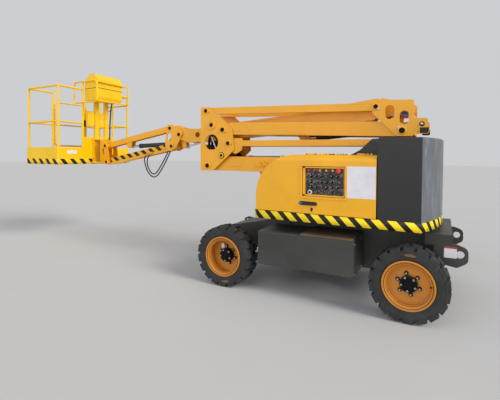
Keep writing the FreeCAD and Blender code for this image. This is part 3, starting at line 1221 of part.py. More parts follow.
def gate():
    """Swing gate in the front face, with its hinge sleeves round the post."""
    x1 = CAGE_X[1] - TOE_T - RAIL_R - 1
    g0, g1 = GATE_Y
    z0 = TOE_Z + 40
    z1 = GATE_TOP_Z
    y0 = g0 - RAIL_R - 22
    y1 = g1 + RAIL_R + 20
    loop = bent_tube([Vector(x1, (y0 + y1) / 2, z1), Vector(x1, y1, z1), Vector(x1, y1, z0),
                      Vector(x1, y0, z0), Vector(x1, y0, z1), Vector(x1, (y0 + y1) / 2, z1)],
                     50, RAIL_R - 2)
    pieces = [loop, bar(Vector(x1, y0, CAGE_MID_Z), Vector(x1, y1, CAGE_MID_Z), RAIL_R - 4)]
    for z in (z0 + 110, z1 - 140):
        sleeve = Part.makeCylinder(RAIL_R + 7, 40, Vector(x1, g0, z))
        sleeve = fused(sleeve, box((x1 - 5, x1 + 5), (y0, g0), (z + 5, z + 35)))
        sleeve = sleeve.cut(Part.makeCylinder(RAIL_R + PIN_GAP, 60, Vector(x1, g0, z - 10)))
        pieces.append(sleeve)
    put("platform_gate", fused(*pieces))


def platform_console():
    """Console box on the masts and its lid, hinged on the side of the cage."""
    x0, x1 = BOX_X
    z0, z1 = BOX_Z
    low = plate_xz([(x0 + 30, z0, 20), (x1, z0, 0), (x1, z1, 0), (x0, z1, 0), (x0, z0 + 60, 30)],
                   BOX_Y)
    room = plate_xz([(x0 + 44, z0 + 14, 10), (x1 - 14, z0 + 14, 0), (x1 - 14, z1 + 9, 0),
                     (x0 + 14, z1 + 9, 0), (x0 + 14, z0 + 66, 20)], (BOX_Y[0] + 6, BOX_Y[1] - 6))
    put("console_box", low.cut(room))
    lid = plate_xz([(x0, z1 + SEAT_GAP, 0), (x1, z1 + SEAT_GAP, 0), (x1, z1 + LID_H / 2, 60),
                    (x0 + 200, LID_TOP_Z, 60), (x0 + 70, LID_TOP_Z, 60), (x0, z1 + LID_H / 2 + 10, 60)],
                   BOX_Y)
    hollow_lid = plate_xz([(x0 + 6, z1 - 9, 0), (x1 - 6, z1 - 9, 0), (x1 - 6, z1 + LID_H / 2 - 2, 54),
                           (x0 + 198, LID_TOP_Z - 6, 54), (x0 + 72, LID_TOP_Z - 6, 54),
                           (x0 + 6, z1 + LID_H / 2 + 8, 54)], (BOX_Y[0] + 6, BOX_Y[1] - 6))
    lid = lid.cut(hollow_lid)
    sleeves = []
    x, z = LID_HINGE
    for y in (BOX_Y[0] + 90, BOX_Y[1] - 170):
        sleeve = across(LID_HINGE, LID_HINGE_R, (y, y + 80))
        tongue = box((x1 - 3, x), (y, y + 80), (z - 4, z + LID_HINGE_R))
        sleeves.extend([sleeve, tongue])
    put("console_lid", fused(lid, *sleeves))


# Cylinders

def cylinder(node, spec):
    """Barrel with its base eye, and rod with its own eye."""
    base, eye, barrel_r, rod_r, length = spec
    bx, bz = base
    run = run_length(base, eye)
    c = (eye[0] - bx) / run
    s = (eye[1] - bz) / run
    direction = Vector(c, 0, s)
    start = Vector(bx, 0, bz)
    eye_r = BASE_PINS[node] + 14
    mouth = start + direction * length
    tube = bar(start + direction * NECK, mouth, barrel_r)
    gland = bar(start + direction * (length - 40), mouth + direction * 10, barrel_r + 4)
    neck_half = min(eye_r - 6, EYE_HALF_Y - 1)
    neck = bar(start, start + direction * (NECK + 4), neck_half)
    body = fused(tube, gland, neck, across(base, eye_r, (-EYE_HALF_Y, EYE_HALF_Y)))
    bore = bar(start + direction * (NECK + 12), mouth + direction * 20, rod_r + SEAT_GAP)
    pin_r = BASE_PINS[node]
    body = body.cut([bore, across(base, pin_r + PIN_GAP, (-EYE_HALF_Y - 1, EYE_HALF_Y + 1))])
    put(node + "_barrel", body)
    tip = Vector(eye[0], 0, eye[1])
    end_r = rod_r + 8
    inside = start + direction * (length - STROKE_GRIP[node])
    rod = fused(bar(inside, tip - direction * 6, rod_r),
                across(eye, end_r, (-EYE_HALF_Y, EYE_HALF_Y)))
    rod = rod.cut(across(eye, rod_r * 0.55, (-EYE_HALF_Y - 1, EYE_HALF_Y + 1)))
    put(node + "_rod", rod)


# Hoses

def hose(node, points, y):
    """Hanging hose along straight runs joined by arcs; prints its length and tightest arc."""
    corners = [Vector(x, y, z) for x, z in points]
    edges = []
    radii = []
    at = corners[0]
    for i in range(1, len(corners) - 1):
        back = corners[i - 1] - corners[i]
        ahead = corners[i + 1] - corners[i]
        cut = HOSE_CUT * min(back.Length, ahead.Length)
        half_turn = (math.pi - back.getAngle(ahead)) / 2
        bend = cut / math.tan(half_turn)
        radii.append(round(bend))
        back.normalize()
        ahead.normalize()
        toward = back + ahead
        toward.normalize()
        start = corners[i] + back * cut
        end = corners[i] + ahead * cut
        middle = corners[i] + toward * (bend / math.cos(half_turn) - bend)
        edges.append(Part.LineSegment(at, start).toShape())
        edges.append(Part.Arc(start, middle, end).toShape())
        at = end
    edges.append(Part.LineSegment(at, corners[-1]).toShape())
    path = Part.Wire(edges)
    ring = Part.Wire(Part.makeCircle(HOSE_R, corners[0], corners[1] - corners[0]))
    print(node, "length", round(path.Length), "arcs", radii)
    put(node, path.makePipeShell([ring], True, False))


def build():
    os.makedirs("parts", exist_ok=True)
    wheels()
    rear_axle()
    front_axle()
    steer_knuckles()
    tie_rod()
    chassis_frame()
    side_boxes()
    slew_ring()
    turntable_base()
    turret()
    counterweight()
    hood_walls()
    put("hood_left", hood(1))
    put("hood_right", hood(-1))
    hood_contents()
    lower_arm()
    lower_link()
    front_knuckle()
    upper_arm()
    upper_link()
    rear_knuckle()
    main_boom()
    fly_boom()
    jib_knuckle()
    jib_link()
    jib_arm()
    jib_head()
    platform_mount()
    toe_boards()
    console_guard()
    cage()
    gate()
    platform_console()
    cylinder("riser_cylinder", RISER_CYL)
    cylinder("lift_cylinder", LIFT_CYL)
    cylinder("jib_cylinder", JIB_CYL)
    cylinder("level_cylinder", LEVEL_CYL)
    hose("jib_hose_outer", OUTER_HOSE, HOSE_Y)
    hose("jib_hose_inner", INNER_HOSE, HOSE_Y)


build()
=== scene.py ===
# %% [markdown]
# # An articulating boom lift
# The machine is already modelled as solids. This script loads those solids as a fixed frame,
# gives every surface a finish, and adds the small pieces that a solid model leaves out.
# Nothing is moved: all pieces are written in metres, in the frame of the solids.

# %% Load the solids
import math
import bmesh
import bpy
from mathutils import Matrix, Vector


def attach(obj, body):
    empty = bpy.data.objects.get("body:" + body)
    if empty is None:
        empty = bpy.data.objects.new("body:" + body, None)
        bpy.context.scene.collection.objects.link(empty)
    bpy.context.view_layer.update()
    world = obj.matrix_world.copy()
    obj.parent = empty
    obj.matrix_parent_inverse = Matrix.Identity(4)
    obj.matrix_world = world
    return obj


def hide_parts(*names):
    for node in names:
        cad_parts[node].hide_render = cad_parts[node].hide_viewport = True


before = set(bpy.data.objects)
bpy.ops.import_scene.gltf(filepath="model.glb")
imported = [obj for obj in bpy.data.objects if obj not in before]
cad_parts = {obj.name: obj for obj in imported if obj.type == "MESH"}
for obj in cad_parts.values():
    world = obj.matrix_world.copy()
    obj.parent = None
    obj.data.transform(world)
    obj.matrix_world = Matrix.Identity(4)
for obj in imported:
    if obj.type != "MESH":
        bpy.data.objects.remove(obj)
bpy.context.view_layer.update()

# %% [markdown]
# ## Where things are
# The solids have their origin under the middle of the machine. Sizes on such a machine are
# easier to read from the rear axle, so one small function takes a point measured from there
# (x forward, y left, z up) and gives it in the frame of the solids.

# %% Points measured from the rear axle
REAR_AXLE_X = -2.7535


def at(x, y, z):
    """A point measured from the rear axle, in the frame of the solids."""
    return Vector((x + REAR_AXLE_X, y, z))


# %% [markdown]
# ## The camera
# The camera stands at the rear left corner of the machine, about head high, and looks forward
# past the counterweight. Its place and angles were found by laying the known sizes of wheels
# and rails over the picture. The lens shift only lifts the frame a little.

# %% Camera
CAMERA_PLACE = (-3.0158, 4.4916, 1.5555)
CAMERA_TURN, CAMERA_DIP, CAMERA_ROLL = (math.radians(a) for a in (27.748, 1.2485, 0.3843))
level_ahead = Vector((math.sin(CAMERA_TURN), -math.cos(CAMERA_TURN), 0))
level_right = Vector((-math.cos(CAMERA_TURN), -math.sin(CAMERA_TURN), 0))
up = Vector((0, 0, 1))
ahead = math.cos(CAMERA_DIP) * level_ahead - math.sin(CAMERA_DIP) * up
above = math.sin(CAMERA_DIP) * level_ahead + math.cos(CAMERA_DIP) * up
right = math.cos(CAMERA_ROLL) * level_right + math.sin(CAMERA_ROLL) * above
above = -math.sin(CAMERA_ROLL) * level_right + math.cos(CAMERA_ROLL) * above
camera_data = bpy.data.cameras.new("camera")
camera_data.lens = 26.338
camera_data.sensor_width = 36.0
camera_data.shift_y = -0.0755
camera = bpy.data.objects.new("camera", camera_data)
bpy.context.scene.collection.objects.link(camera)
turned_axes = Matrix((right, above, -ahead)).transposed().to_4x4()
camera.matrix_world = Matrix.Translation(CAMERA_PLACE) @ turned_axes
bpy.context.scene.camera = camera
print("camera looks along", tuple(round(v, 3) for v in ahead))

# %% [markdown]
# ## Small tools for shapes
# A shape is a list of points and a list of faces. Plates are outlines that are given a
# thickness, and bosses, caps and tyres are profiles that are turned about a line. Several
# shapes are joined into one piece with one material, so that a row of bolts is one object.

# %% Corners, plates and blocks
def rounded(corners, steps=5):
    """Outline through corners (u, v) or (u, v, radius), with each radius drawn as an arc."""
    outline = []
    count = len(corners)
    for i, corner in enumerate(corners):
        here = Vector(corner[:2])
        radius = corner[2] if len(corner) > 2 else 0
        if radius <= 0:
            outline.append(tuple(here))
            continue
        back = (Vector(corners[i - 1][:2]) - here).normalized()
        on = (Vector(corners[(i + 1) % count][:2]) - here).normalized()
        half = back.angle(on) / 2
        middle = here + (back + on).normalized() * (radius / math.sin(half))
        start = here + back * (radius / math.tan(half)) - middle
        end = here + on * (radius / math.tan(half)) - middle
        sweep = start.angle_signed(end)
        for k in range(steps + 1):
            spot = middle + start @ Matrix.Rotation(sweep * k / steps, 2)
            outline.append(tuple(spot))
    return outline


def plate(corners, low, high, plane="xz"):
    """Plate from an outline, between two places on the third axis."""
    outline = rounded(corners)
    points = []
    for level in (low, high):
        for u, v in outline:
            spot = {"xz": (u, level, v), "xy": (u, v, level), "yz": (level, u, v)}[plane]
            points.append(at(*spot))
    n = len(outline)
    faces = [list(range(n)), list(range(n, 2 * n))]
    faces += [[i, (i + 1) % n, n + (i + 1) % n, n + i] for i in range(n)]
    return points, faces


def block(x, y, z, corner=0.0):
    """Block between limits on each axis, with rounded upright corners."""
    spots = [(x[0], z[0], corner), (x[1], z[0], corner), (x[1], z[1], corner), (x[0], z[1], corner)]
    return plate(spots, y[0], y[1])


# %% Turned shapes and bolts
def turned(profile, centre, axis, steps=40, closed=False):
    """Turn a profile of (distance along the axis, radius) about a line."""
    axis = Vector(axis).normalized()
    side = axis.orthogonal().normalized()
    other = axis.cross(side)
    points = []
    for along, radius in profile:
        for k in range(steps):
            angle = 2 * math.pi * k / steps
            spoke = side * math.cos(angle) + other * math.sin(angle)
            points.append(centre + axis * along + spoke * radius)
    faces = []
    rings = len(profile)
    for r in range(rings if closed else rings - 1):
        low, high = r * steps, (r + 1) % rings * steps
        for k in range(steps):
            following = (k + 1) % steps
            faces.append([low + k, low + following, high + following, high + k])
    if not closed:
        faces.append(list(range(steps)))
        faces.append(list(range((rings - 1) * steps, rings * steps)))
    return points, faces


def bolt(centre, axis, size=0.012):
    """Hexagon head on a washer; size is the radius of the head's corners."""
    washer = turned([(0, size * 1.35), (size * 0.25, size * 1.35)], centre, axis, 20)
    head = turned([(size * 0.2, size), (size * 0.85, size), (size * 0.98, size * 0.82)],
                  centre, axis, 6)
    return [washer, head]


def rod(start, end, radius, steps=20):
    """Straight round bar between two points."""
    line = end - start
    return turned([(0, radius), (line.length, radius)], start, line, steps)


def mirrored(shape):
    """The same shape on the other side of the machine."""
    return [Vector((p[0], -p[1], p[2])) for p in shape[0]], shape[1]


def both_sides(shapes):
    """Shapes together with their twins on the other side."""
    return list(shapes) + [mirrored(shape) for shape in shapes]


# %% One piece from several shapes
def piece(name, shapes, finish, body, bevel=0.0, smooth=35):
    """Join shapes into one object with one finish, and let it ride on a body."""
    points, faces = [], []
    for shape_points, shape_faces in shapes:
        first = len(points)
        points += [tuple(p) for p in shape_points]
        faces += [[first + i for i in face] for face in shape_faces]
    mesh = bpy.data.meshes.new(name)
    mesh.from_pydata(points, [], faces)
    work = bmesh.new()
    work.from_mesh(mesh)
    bmesh.ops.recalc_face_normals(work, faces=work.faces)
    work.to_mesh(mesh)
    work.free()
    mesh.shade_smooth()
    mesh.set_sharp_from_angle(angle=math.radians(smooth))
    mesh.materials.append(finish)
    made = bpy.data.objects.new(name, mesh)
    bpy.context.scene.collection.objects.link(made)
    if bevel:
        edge = made.modifiers.new("soft_edge", "BEVEL")
        edge.width = bevel
        edge.segments = 2
        edge.limit_method = "ANGLE"
        edge.angle_limit = math.radians(smooth)
    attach(made, body)
    return made


def pipes(name, routes, diameter, finish, body):
    """Hoses and pipes that are clipped down, each a smooth curve through its points."""
    curve = bpy.data.curves.new(name, "CURVE")
    curve.dimensions = "3D"
    curve.bevel_depth = diameter / 2
    curve.bevel_resolution = 4
    curve.use_fill_caps = True
    for route in routes:
        spline = curve.splines.new("NURBS")
        spline.points.add(len(route) - 1)
        for spot, point in zip(spline.points, route):
            spot.co = (*at(*point), 1)
        spline.order_u = 3
        spline.use_endpoint_u = True
    curve.materials.append(finish)
    made = bpy.data.objects.new(name, curve)
    bpy.context.scene.collection.objects.link(made)
    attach(made, body)
    return made


# %% [markdown]
# ## Small tools for finishes
# Colours are written as the sRGB hex values that a painter would match, and one function turns
# them into the linear values that Blender works with. One function adds a node, with its
# settings and its links, so a finish reads as a short list.

# %% Colours and nodes
def paint(hex_value):
    """An sRGB hex colour as linear red, green, blue and alpha."""
    parts = [int(hex_value[i:i + 2], 16) / 255 for i in (1, 3, 5)]
    linear = [c / 12.92 if c <= 0.04045 else ((c + 0.055) / 1.055) ** 2.4 for c in parts]
    return (*linear, 1.0)


def add(tree, kind, settings=None, links=None):
    """Add one node, with settings by name and links from the outputs of other nodes."""
    node = tree.nodes.new(kind)
    for key, value in (settings or {}).items():
        if isinstance(key, str) and hasattr(node, key):
            setattr(node, key, value)
        else:
            node.inputs[key].default_value = value
    for key, source in (links or {}).items():
        tree.links.new(source, node.inputs[key])
    return node


def new_finish(name):
    """An empty material with its output; gives the material, its tree and the output."""
    finish = bpy.data.materials.new(name)
    finish.use_nodes = True
    tree = finish.node_tree
    tree.nodes.clear()
    output = add(tree, "ShaderNodeOutputMaterial")
    return finish, tree, output


# %% [markdown]
# ## Enamelled steel
# Nearly everything is welded steel plate, shot-blasted and sprayed with two-part polyurethane
# enamel. Such paint is glossy without a mirror's sharpness (IOR about 1.5), has a faint orange
# peel, gathers a little dust on ledges and near the ground, and looks brighter along the edges
# where it lies thin and has been rubbed. Real orange peel is 1 to 3 mm wide, which is far below
# one pixel here, so it is drawn 18 mm wide and very flat. The edges of the plates are rounded
# by the Bevel node, because the solids have sharp edges.

# %% Enamel
PEEL_M = 0.018
MOTTLE_M = 0.35


def enamel(name, base, worn, dust, dustiness=0.35, gloss=0.34, edge_radius=0.003, foot=0.0,
           rear_sunlit_streaks=None):
    """Sprayed enamel: base, worn edges, dust and its share; the last colour is painted sunlight, in upright
    streaks, on the faces to the rear.
    """
    finish, tree, output = new_finish(name)
    place = add(tree, "ShaderNodeTexCoord").outputs["Object"]
    shape = add(tree, "ShaderNodeNewGeometry")
    mottle = add(tree, "ShaderNodeTexNoise", {"Scale": 1 / MOTTLE_M, "Detail": 5.0,
                                              "Roughness": 0.6}, {"Vector": place})
    tone = add(tree, "ShaderNodeMapRange", {"From Min": 0.3, "From Max": 0.7,
                                            "To Min": 0.93, "To Max": 1.05},
               {"Value": mottle.outputs["Fac"]})
    coat = add(tree, "ShaderNodeHueSaturation", {"Color": paint(base)},
               {"Value": tone.outputs["Result"]})
    fine = add(tree, "ShaderNodeTexNoise", {"Scale": 28.0, "Detail": 6.0, "Roughness": 0.7},
               {"Vector": place})
    soft = add(tree, "ShaderNodeBevel", {"samples": 4, "Radius": edge_radius})
    turn = add(tree, "ShaderNodeVectorMath", {"operation": "DOT_PRODUCT"},
               {0: soft.outputs["Normal"], 1: shape.outputs["Normal"]})
    rubbed = add(tree, "ShaderNodeMapRange", {"From Min": 0.995, "From Max": 0.86,
                                              "To Min": 0.0, "To Max": 0.55},
                 {"Value": turn.outputs["Value"]})
    patchy = add(tree, "ShaderNodeMath", {"operation": "MULTIPLY"},
                 {0: rubbed.outputs["Result"], 1: fine.outputs["Fac"]})
    edged = add(tree, "ShaderNodeMix", {"data_type": "RGBA", 7: paint(worn)},
                {0: patchy.outputs["Value"], 6: coat.outputs["Color"]})
    facing = add(tree, "ShaderNodeSeparateXYZ", links={"Vector": shape.outputs["Normal"]})
    height = add(tree, "ShaderNodeSeparateXYZ", links={"Vector": shape.outputs["Position"]})
    ledge = add(tree, "ShaderNodeMapRange", {"From Min": 0.3, "From Max": 1.0,
                                             "To Min": 0.05, "To Max": 0.8},
                {"Value": facing.outputs["Z"]})
    low = add(tree, "ShaderNodeMapRange", {"From Min": 0.9, "From Max": 0.1,
                                           "To Min": 0.0, "To Max": foot},
              {"Value": height.outputs["Z"]})
    reach = add(tree, "ShaderNodeMath", {"operation": "MAXIMUM"},
                {0: ledge.outputs["Result"], 1: low.outputs["Result"]})
    cloud = add(tree, "ShaderNodeMapRange", {"From Min": 0.35, "From Max": 0.75,
                                             "To Min": 0.1, "To Max": dustiness},
                {"Value": mottle.outputs["Fac"]})
    film = add(tree, "ShaderNodeMath", {"operation": "MULTIPLY"},
               {0: reach.outputs["Value"], 1: cloud.outputs["Result"]})
    dust_and_light_colour = add(tree, "ShaderNodeMix", {"data_type": "RGBA", 7: paint(dust)},
                {0: film.outputs["Value"], 6: edged.outputs[2]})
    # faces to the rear are lightened in upright streaks and pale flecks: painted sunlight on the rear end,
    # broken by streaks from rain and rubbing
    if rear_sunlit_streaks:
        runs = add(tree, "ShaderNodeMapping", {"Scale": (1.0, 5.0, 1.3)}, {"Vector": place})
        streak = add(tree, "ShaderNodeTexNoise", {"Scale": 2.0, "Detail": 7.0, "Roughness": 0.6},
                     {"Vector": runs.outputs["Vector"]})
        rear_facing_light = add(tree, "ShaderNodeMapRange", {"From Min": -0.35, "From Max": -0.9,
                                                    "To Min": 0.0, "To Max": 1.2},
                       {"Value": facing.outputs["X"]})
        sunlit_streak_mask = add(tree, "ShaderNodeMath", {"operation": "MULTIPLY"},
                    {0: rear_facing_light.outputs["Result"], 1: streak.outputs["Fac"]})
        dust_and_light_colour = add(tree, "ShaderNodeMix", {"data_type": "RGBA", 7: paint(rear_sunlit_streaks)},
                    {0: sunlit_streak_mask.outputs["Value"], 6: dust_and_light_colour.outputs[2]})
        streak_band = add(tree, "ShaderNodeMapRange", {"From Min": 0.60, "From Max": 0.72, "To Min": 0.0,
                                                  "To Max": 0.5}, {"Value": streak.outputs["Fac"]})
        bright_streak_mask = add(tree, "ShaderNodeMath", {"operation": "MULTIPLY"},
                    {0: streak_band.outputs["Result"], 1: rear_facing_light.outputs["Result"]})
        dust_and_light_colour = add(tree, "ShaderNodeMix", {"data_type": "RGBA", 7: paint("#A9ADB4")},
                    {0: bright_streak_mask.outputs["Value"], 6: dust_and_light_colour.outputs[2]})
    rough = add(tree, "ShaderNodeMapRange", {"From Min": 0.3, "From Max": 0.7,
                                             "To Min": gloss - 0.05, "To Max": gloss + 0.09},
                {"Value": fine.outputs["Fac"]})
    peel = add(tree, "ShaderNodeTexNoise", {"Scale": 1 / PEEL_M, "Detail": 2.0}, {"Vector": place})
    relief = add(tree, "ShaderNodeBump", {"Strength": 0.08, "Distance": 0.0006},
                 {"Height": peel.outputs["Fac"], "Normal": soft.outputs["Normal"]})
    skin = add(tree, "ShaderNodeBsdfPrincipled", {"IOR": 1.5, "Coat Weight": 0.06,
                                                  "Coat Roughness": 0.2},
               {"Base Color": dust_and_light_colour.outputs[2], "Roughness": rough.outputs["Result"],
                "Normal": relief.outputs["Normal"]})
    tree.links.new(skin.outputs["BSDF"], output.inputs["Surface"])
    return finish


# one yellow paint covers arms, hood and platform, drawn in three tones for the light on each part: the arms'
# amber is painted shade, the platform's yellow is painted sunlight, the hood lies between
shaded_amber_enamel = enamel("amber_enamel_painted_shade", "#F3AC02", "#F8C638", "#B9A27C", 0.14)
hood_enamel = enamel("hood_yellow_enamel", "#F5B200", "#FACC38", "#C4AC78", 0.13, 0.32)
sunlit_yellow_enamel = enamel("yellow_enamel_painted_sunlight", "#FCCC00", "#FFE04C", "#C9BC84", 0.10)
rim_enamel = enamel("orange_rim_enamel", "#D98A1E", "#E2A650", "#6E5230", 0.7, 0.42, foot=0.6)
charcoal_enamel = enamel("charcoal_enamel", "#222122", "#565759", "#8E8B86", 0.24, 0.42)
chassis_enamel = enamel("chassis_grey_enamel", "#2F302D", "#63655F", "#8F8C82", 0.36, 0.47,
                        foot=0.55)
# the counterweight's rear-facing faces carry painted sunlight: a lighter grey broken into upright streaks from
# rain and rubbing
weight_enamel = enamel("charcoal_enamel_with_streaks_and_painted_sunlight", "#1A191A", "#4C4C4E", "#8E8B86", 0.16, 0.42,
                       rear_sunlit_streaks="#7B818A")
print("enamels made")

# %% [markdown]
# ## Bare and plated steel
# Pins are hardened and blackened with hot oxide, so they look nearly black with a dull shine.
# Bolts are zinc plated, which is a pale and slightly cloudy metal. Cylinder rods are ground and
# hard chrome plated, the smoothest and brightest metal on the machine. The turning bearing is
# machined steel with a film of oil.

# %% Metals
def metal(name, base, dull, rough, grain=90.0, stretch=(1, 1, 1)):
    """Bare or plated metal: two tones, roughness range and the size of its clouds."""
    finish, tree, output = new_finish(name)
    place = add(tree, "ShaderNodeTexCoord").outputs["Object"]
    laid = add(tree, "ShaderNodeMapping", {"Scale": stretch}, {"Vector": place})
    cloud = add(tree, "ShaderNodeTexNoise", {"Scale": grain, "Detail": 4.0, "Roughness": 0.65},
                {"Vector": laid.outputs["Vector"]})
    tone = add(tree, "ShaderNodeMix", {"data_type": "RGBA", 6: paint(base), 7: paint(dull)},
               {0: cloud.outputs["Fac"]})
    uneven = add(tree, "ShaderNodeMapRange", {"From Min": 0.3, "From Max": 0.7,
                                              "To Min": rough[0], "To Max": rough[1]},
                 {"Value": cloud.outputs["Fac"]})
    relief = add(tree, "ShaderNodeBump", {"Strength": 0.1, "Distance": 0.0004},
                 {"Height": cloud.outputs["Fac"]})
    skin = add(tree, "ShaderNodeBsdfPrincipled", {"Metallic": 1.0},
               {"Base Color": tone.outputs[2], "Roughness": uneven.outputs["Result"],
                "Normal": relief.outputs["Normal"]})
    tree.links.new(skin.outputs["BSDF"], output.inputs["Surface"])
    return finish


black_oxide_steel = metal("black_oxide_steel", "#1B1B1D", "#2C2B2A", (0.4, 0.6))
zinc_plated_steel = metal("zinc_plated_steel", "#C9CBCC", "#A3A5A6", (0.25, 0.45))
hard_chrome_rod = metal("hard_chrome_on_steel", "#D5D8DA", "#C2C5C8", (0.08, 0.16), 40.0)
machined_steel = metal("oiled_machined_steel", "#6B6A66", "#3E3D3B", (0.3, 0.5), 30.0)
tread_plate_metal = metal("aluminium_tread_plate", "#B4B6B7", "#8F9193", (0.35, 0.55), 60.0)
cast_iron = metal("painted_over_cast_iron", "#55575A", "#3B3C3E", (0.5, 0.7), 70.0)

# %% [markdown]
# ## Rubber and plastics
# Tyres are filled with foam and made of hard black rubber that greys with dust. Hoses have a
# smoother black rubber cover. Wear pads, switch panels and knobs are moulded plastics with a
# fine, even grain.

# %% Rubber, plastics and lenses
def moulded(name, base, dust, rough, grain_m, depth, dustiness, ior=1.5):
    """Moulded rubber or plastic: colour, dust, roughness and the grain of its surface."""
    finish, tree, output = new_finish(name)
    place = add(tree, "ShaderNodeTexCoord").outputs["Object"]
    cloud = add(tree, "ShaderNodeTexNoise", {"Scale": 7.0, "Detail": 6.0, "Roughness": 0.65},
                {"Vector": place})
    film = add(tree, "ShaderNodeMapRange", {"From Min": 0.4, "From Max": 0.75,
                                            "To Min": 0.0, "To Max": dustiness},
               {"Value": cloud.outputs["Fac"]})
    tone = add(tree, "ShaderNodeMix", {"data_type": "RGBA", 6: paint(base), 7: paint(dust)},
               {0: film.outputs["Result"]})
    grain = add(tree, "ShaderNodeTexNoise", {"Scale": 1 / grain_m, "Detail": 3.0},
                {"Vector": place})
    uneven = add(tree, "ShaderNodeMapRange", {"To Min": rough - 0.08, "To Max": rough + 0.08},
                 {"Value": grain.outputs["Fac"]})
    relief = add(tree, "ShaderNodeBump", {"Strength": 0.3, "Distance": depth},
                 {"Height": grain.outputs["Fac"]})
    skin = add(tree, "ShaderNodeBsdfPrincipled", {"IOR": ior},
               {"Base Color": tone.outputs[2], "Roughness": uneven.outputs["Result"],
                "Normal": relief.outputs["Normal"]})
    tree.links.new(skin.outputs["BSDF"], output.inputs["Surface"])
    return finish


tyre_rubber = moulded("foam_filled_tyre_rubber", "#28292A", "#4E4F50", 0.75, 0.012, 0.001, 0.45)
# brown rubber: dust on the tyres' blank ovals, and painted shade in the hood window's recess
brown_dust_and_shade_rubber = moulded("brown_dusted_rubber_and_painted_shade", "#7A5430", "#9A7040", 0.8, 0.012, 0.0005, 0.6)
# black rubber: hoses, cables and grips, and painted shade in the rear knuckle's bracket and under the console's
# lid
black_rubber_and_shade = moulded("hose_cover_rubber_and_painted_shade", "#0C0C0D", "#262523", 0.6, 0.008, 0.0003, 0.3)
pad_polyamide = moulded("cast_polyamide_pad", "#D9D4C6", "#9A927F", 0.5, 0.01, 0.0003, 0.4)
panel_abs = moulded("textured_abs_panel", "#17181A", "#3D3D3D", 0.5, 0.006, 0.0003, 0.25)
red_lens = moulded("red_polycarbonate_lens", "#E2261C", "#F0674C", 0.22, 0.01, 0.0001, 0.4, 1.58)
amber_lens = moulded("amber_polycarbonate_lens", "#F7A51B", "#FCCB58", 0.22, 0.01, 0.0001, 0.4, 1.58)
blue_lens = moulded("blue_lock_cap", "#1C6FD0", "#4C93DE", 0.3, 0.01, 0.0001, 0.4)
white_film = moulded("white_vinyl_plate", "#E9E7EE", "#CFCBD2", 0.4, 0.02, 0.0001, 0.6)
red_film = moulded("red_vinyl_strip", "#B9302A", "#95453F", 0.4, 0.02, 0.0001, 0.5)
sand_steel = moulded("sandy_worn_top_sheet", "#5B4A33", "#6F6047", 0.8, 0.01, 0.0005, 0.8)


def printed():
    """Dark switch panel whose printed fields read as small brown and grey patches."""
    finish, tree, output = new_finish("printed_switch_panel")
    place = add(tree, "ShaderNodeTexCoord").outputs["Object"]
    fields = add(tree, "ShaderNodeTexVoronoi", {"distance": "CHEBYCHEV", "Scale": 34.0},
                 {"Vector": place})
    share = add(tree, "ShaderNodeSeparateColor", links={"Color": fields.outputs["Color"]})
    some = add(tree, "ShaderNodeMapRange", {"From Min": 0.45, "From Max": 1.0, "To Min": 0.0,
                                            "To Max": 0.75}, {"Value": share.outputs["Red"]})
    tint = add(tree, "ShaderNodeMix", {"data_type": "RGBA", 6: paint("#5E3A28"), 7: paint("#6E6A60")},
               {0: share.outputs["Green"]})
    tone = add(tree, "ShaderNodeMix", {"data_type": "RGBA", 6: paint("#100F10")},
               {0: some.outputs["Result"], 7: tint.outputs[2]})
    marks = add(tree, "ShaderNodeTexVoronoi", {"Scale": 115.0}, {"Vector": place})
    drawn = add(tree, "ShaderNodeSeparateColor", links={"Color": marks.outputs["Color"]})
    pale = add(tree, "ShaderNodeMapRange", {"From Min": 0.86, "From Max": 0.88, "To Min": 0.0,
                                            "To Max": 0.6}, {"Value": drawn.outputs["Blue"]})
    tone = add(tree, "ShaderNodeMix", {"data_type": "RGBA", 7: paint("#A79C8E")},
               {0: pale.outputs["Result"], 6: tone.outputs[2]})
    skin = add(tree, "ShaderNodeBsdfPrincipled", {"IOR": 1.5, "Roughness": 0.45},
               {"Base Color": tone.outputs[2]})
    tree.links.new(skin.outputs["BSDF"], output.inputs["Surface"])
    return finish


printed_panel = printed()
print("rubber, plastics and films made")

# %% [markdown]
# ## Hazard stripes
# The stripes are printed vinyl tape: slanted bands of yellow and black in a fixed repeat. A
# picture could be wrapped round the edge, but a strip of mesh with its own measured length
# along it is simpler and stays sharp. The tape carries a map of metres (u along, v up), and
# the finish turns u plus a share of v into repeats. Grime dulls the yellow a little.

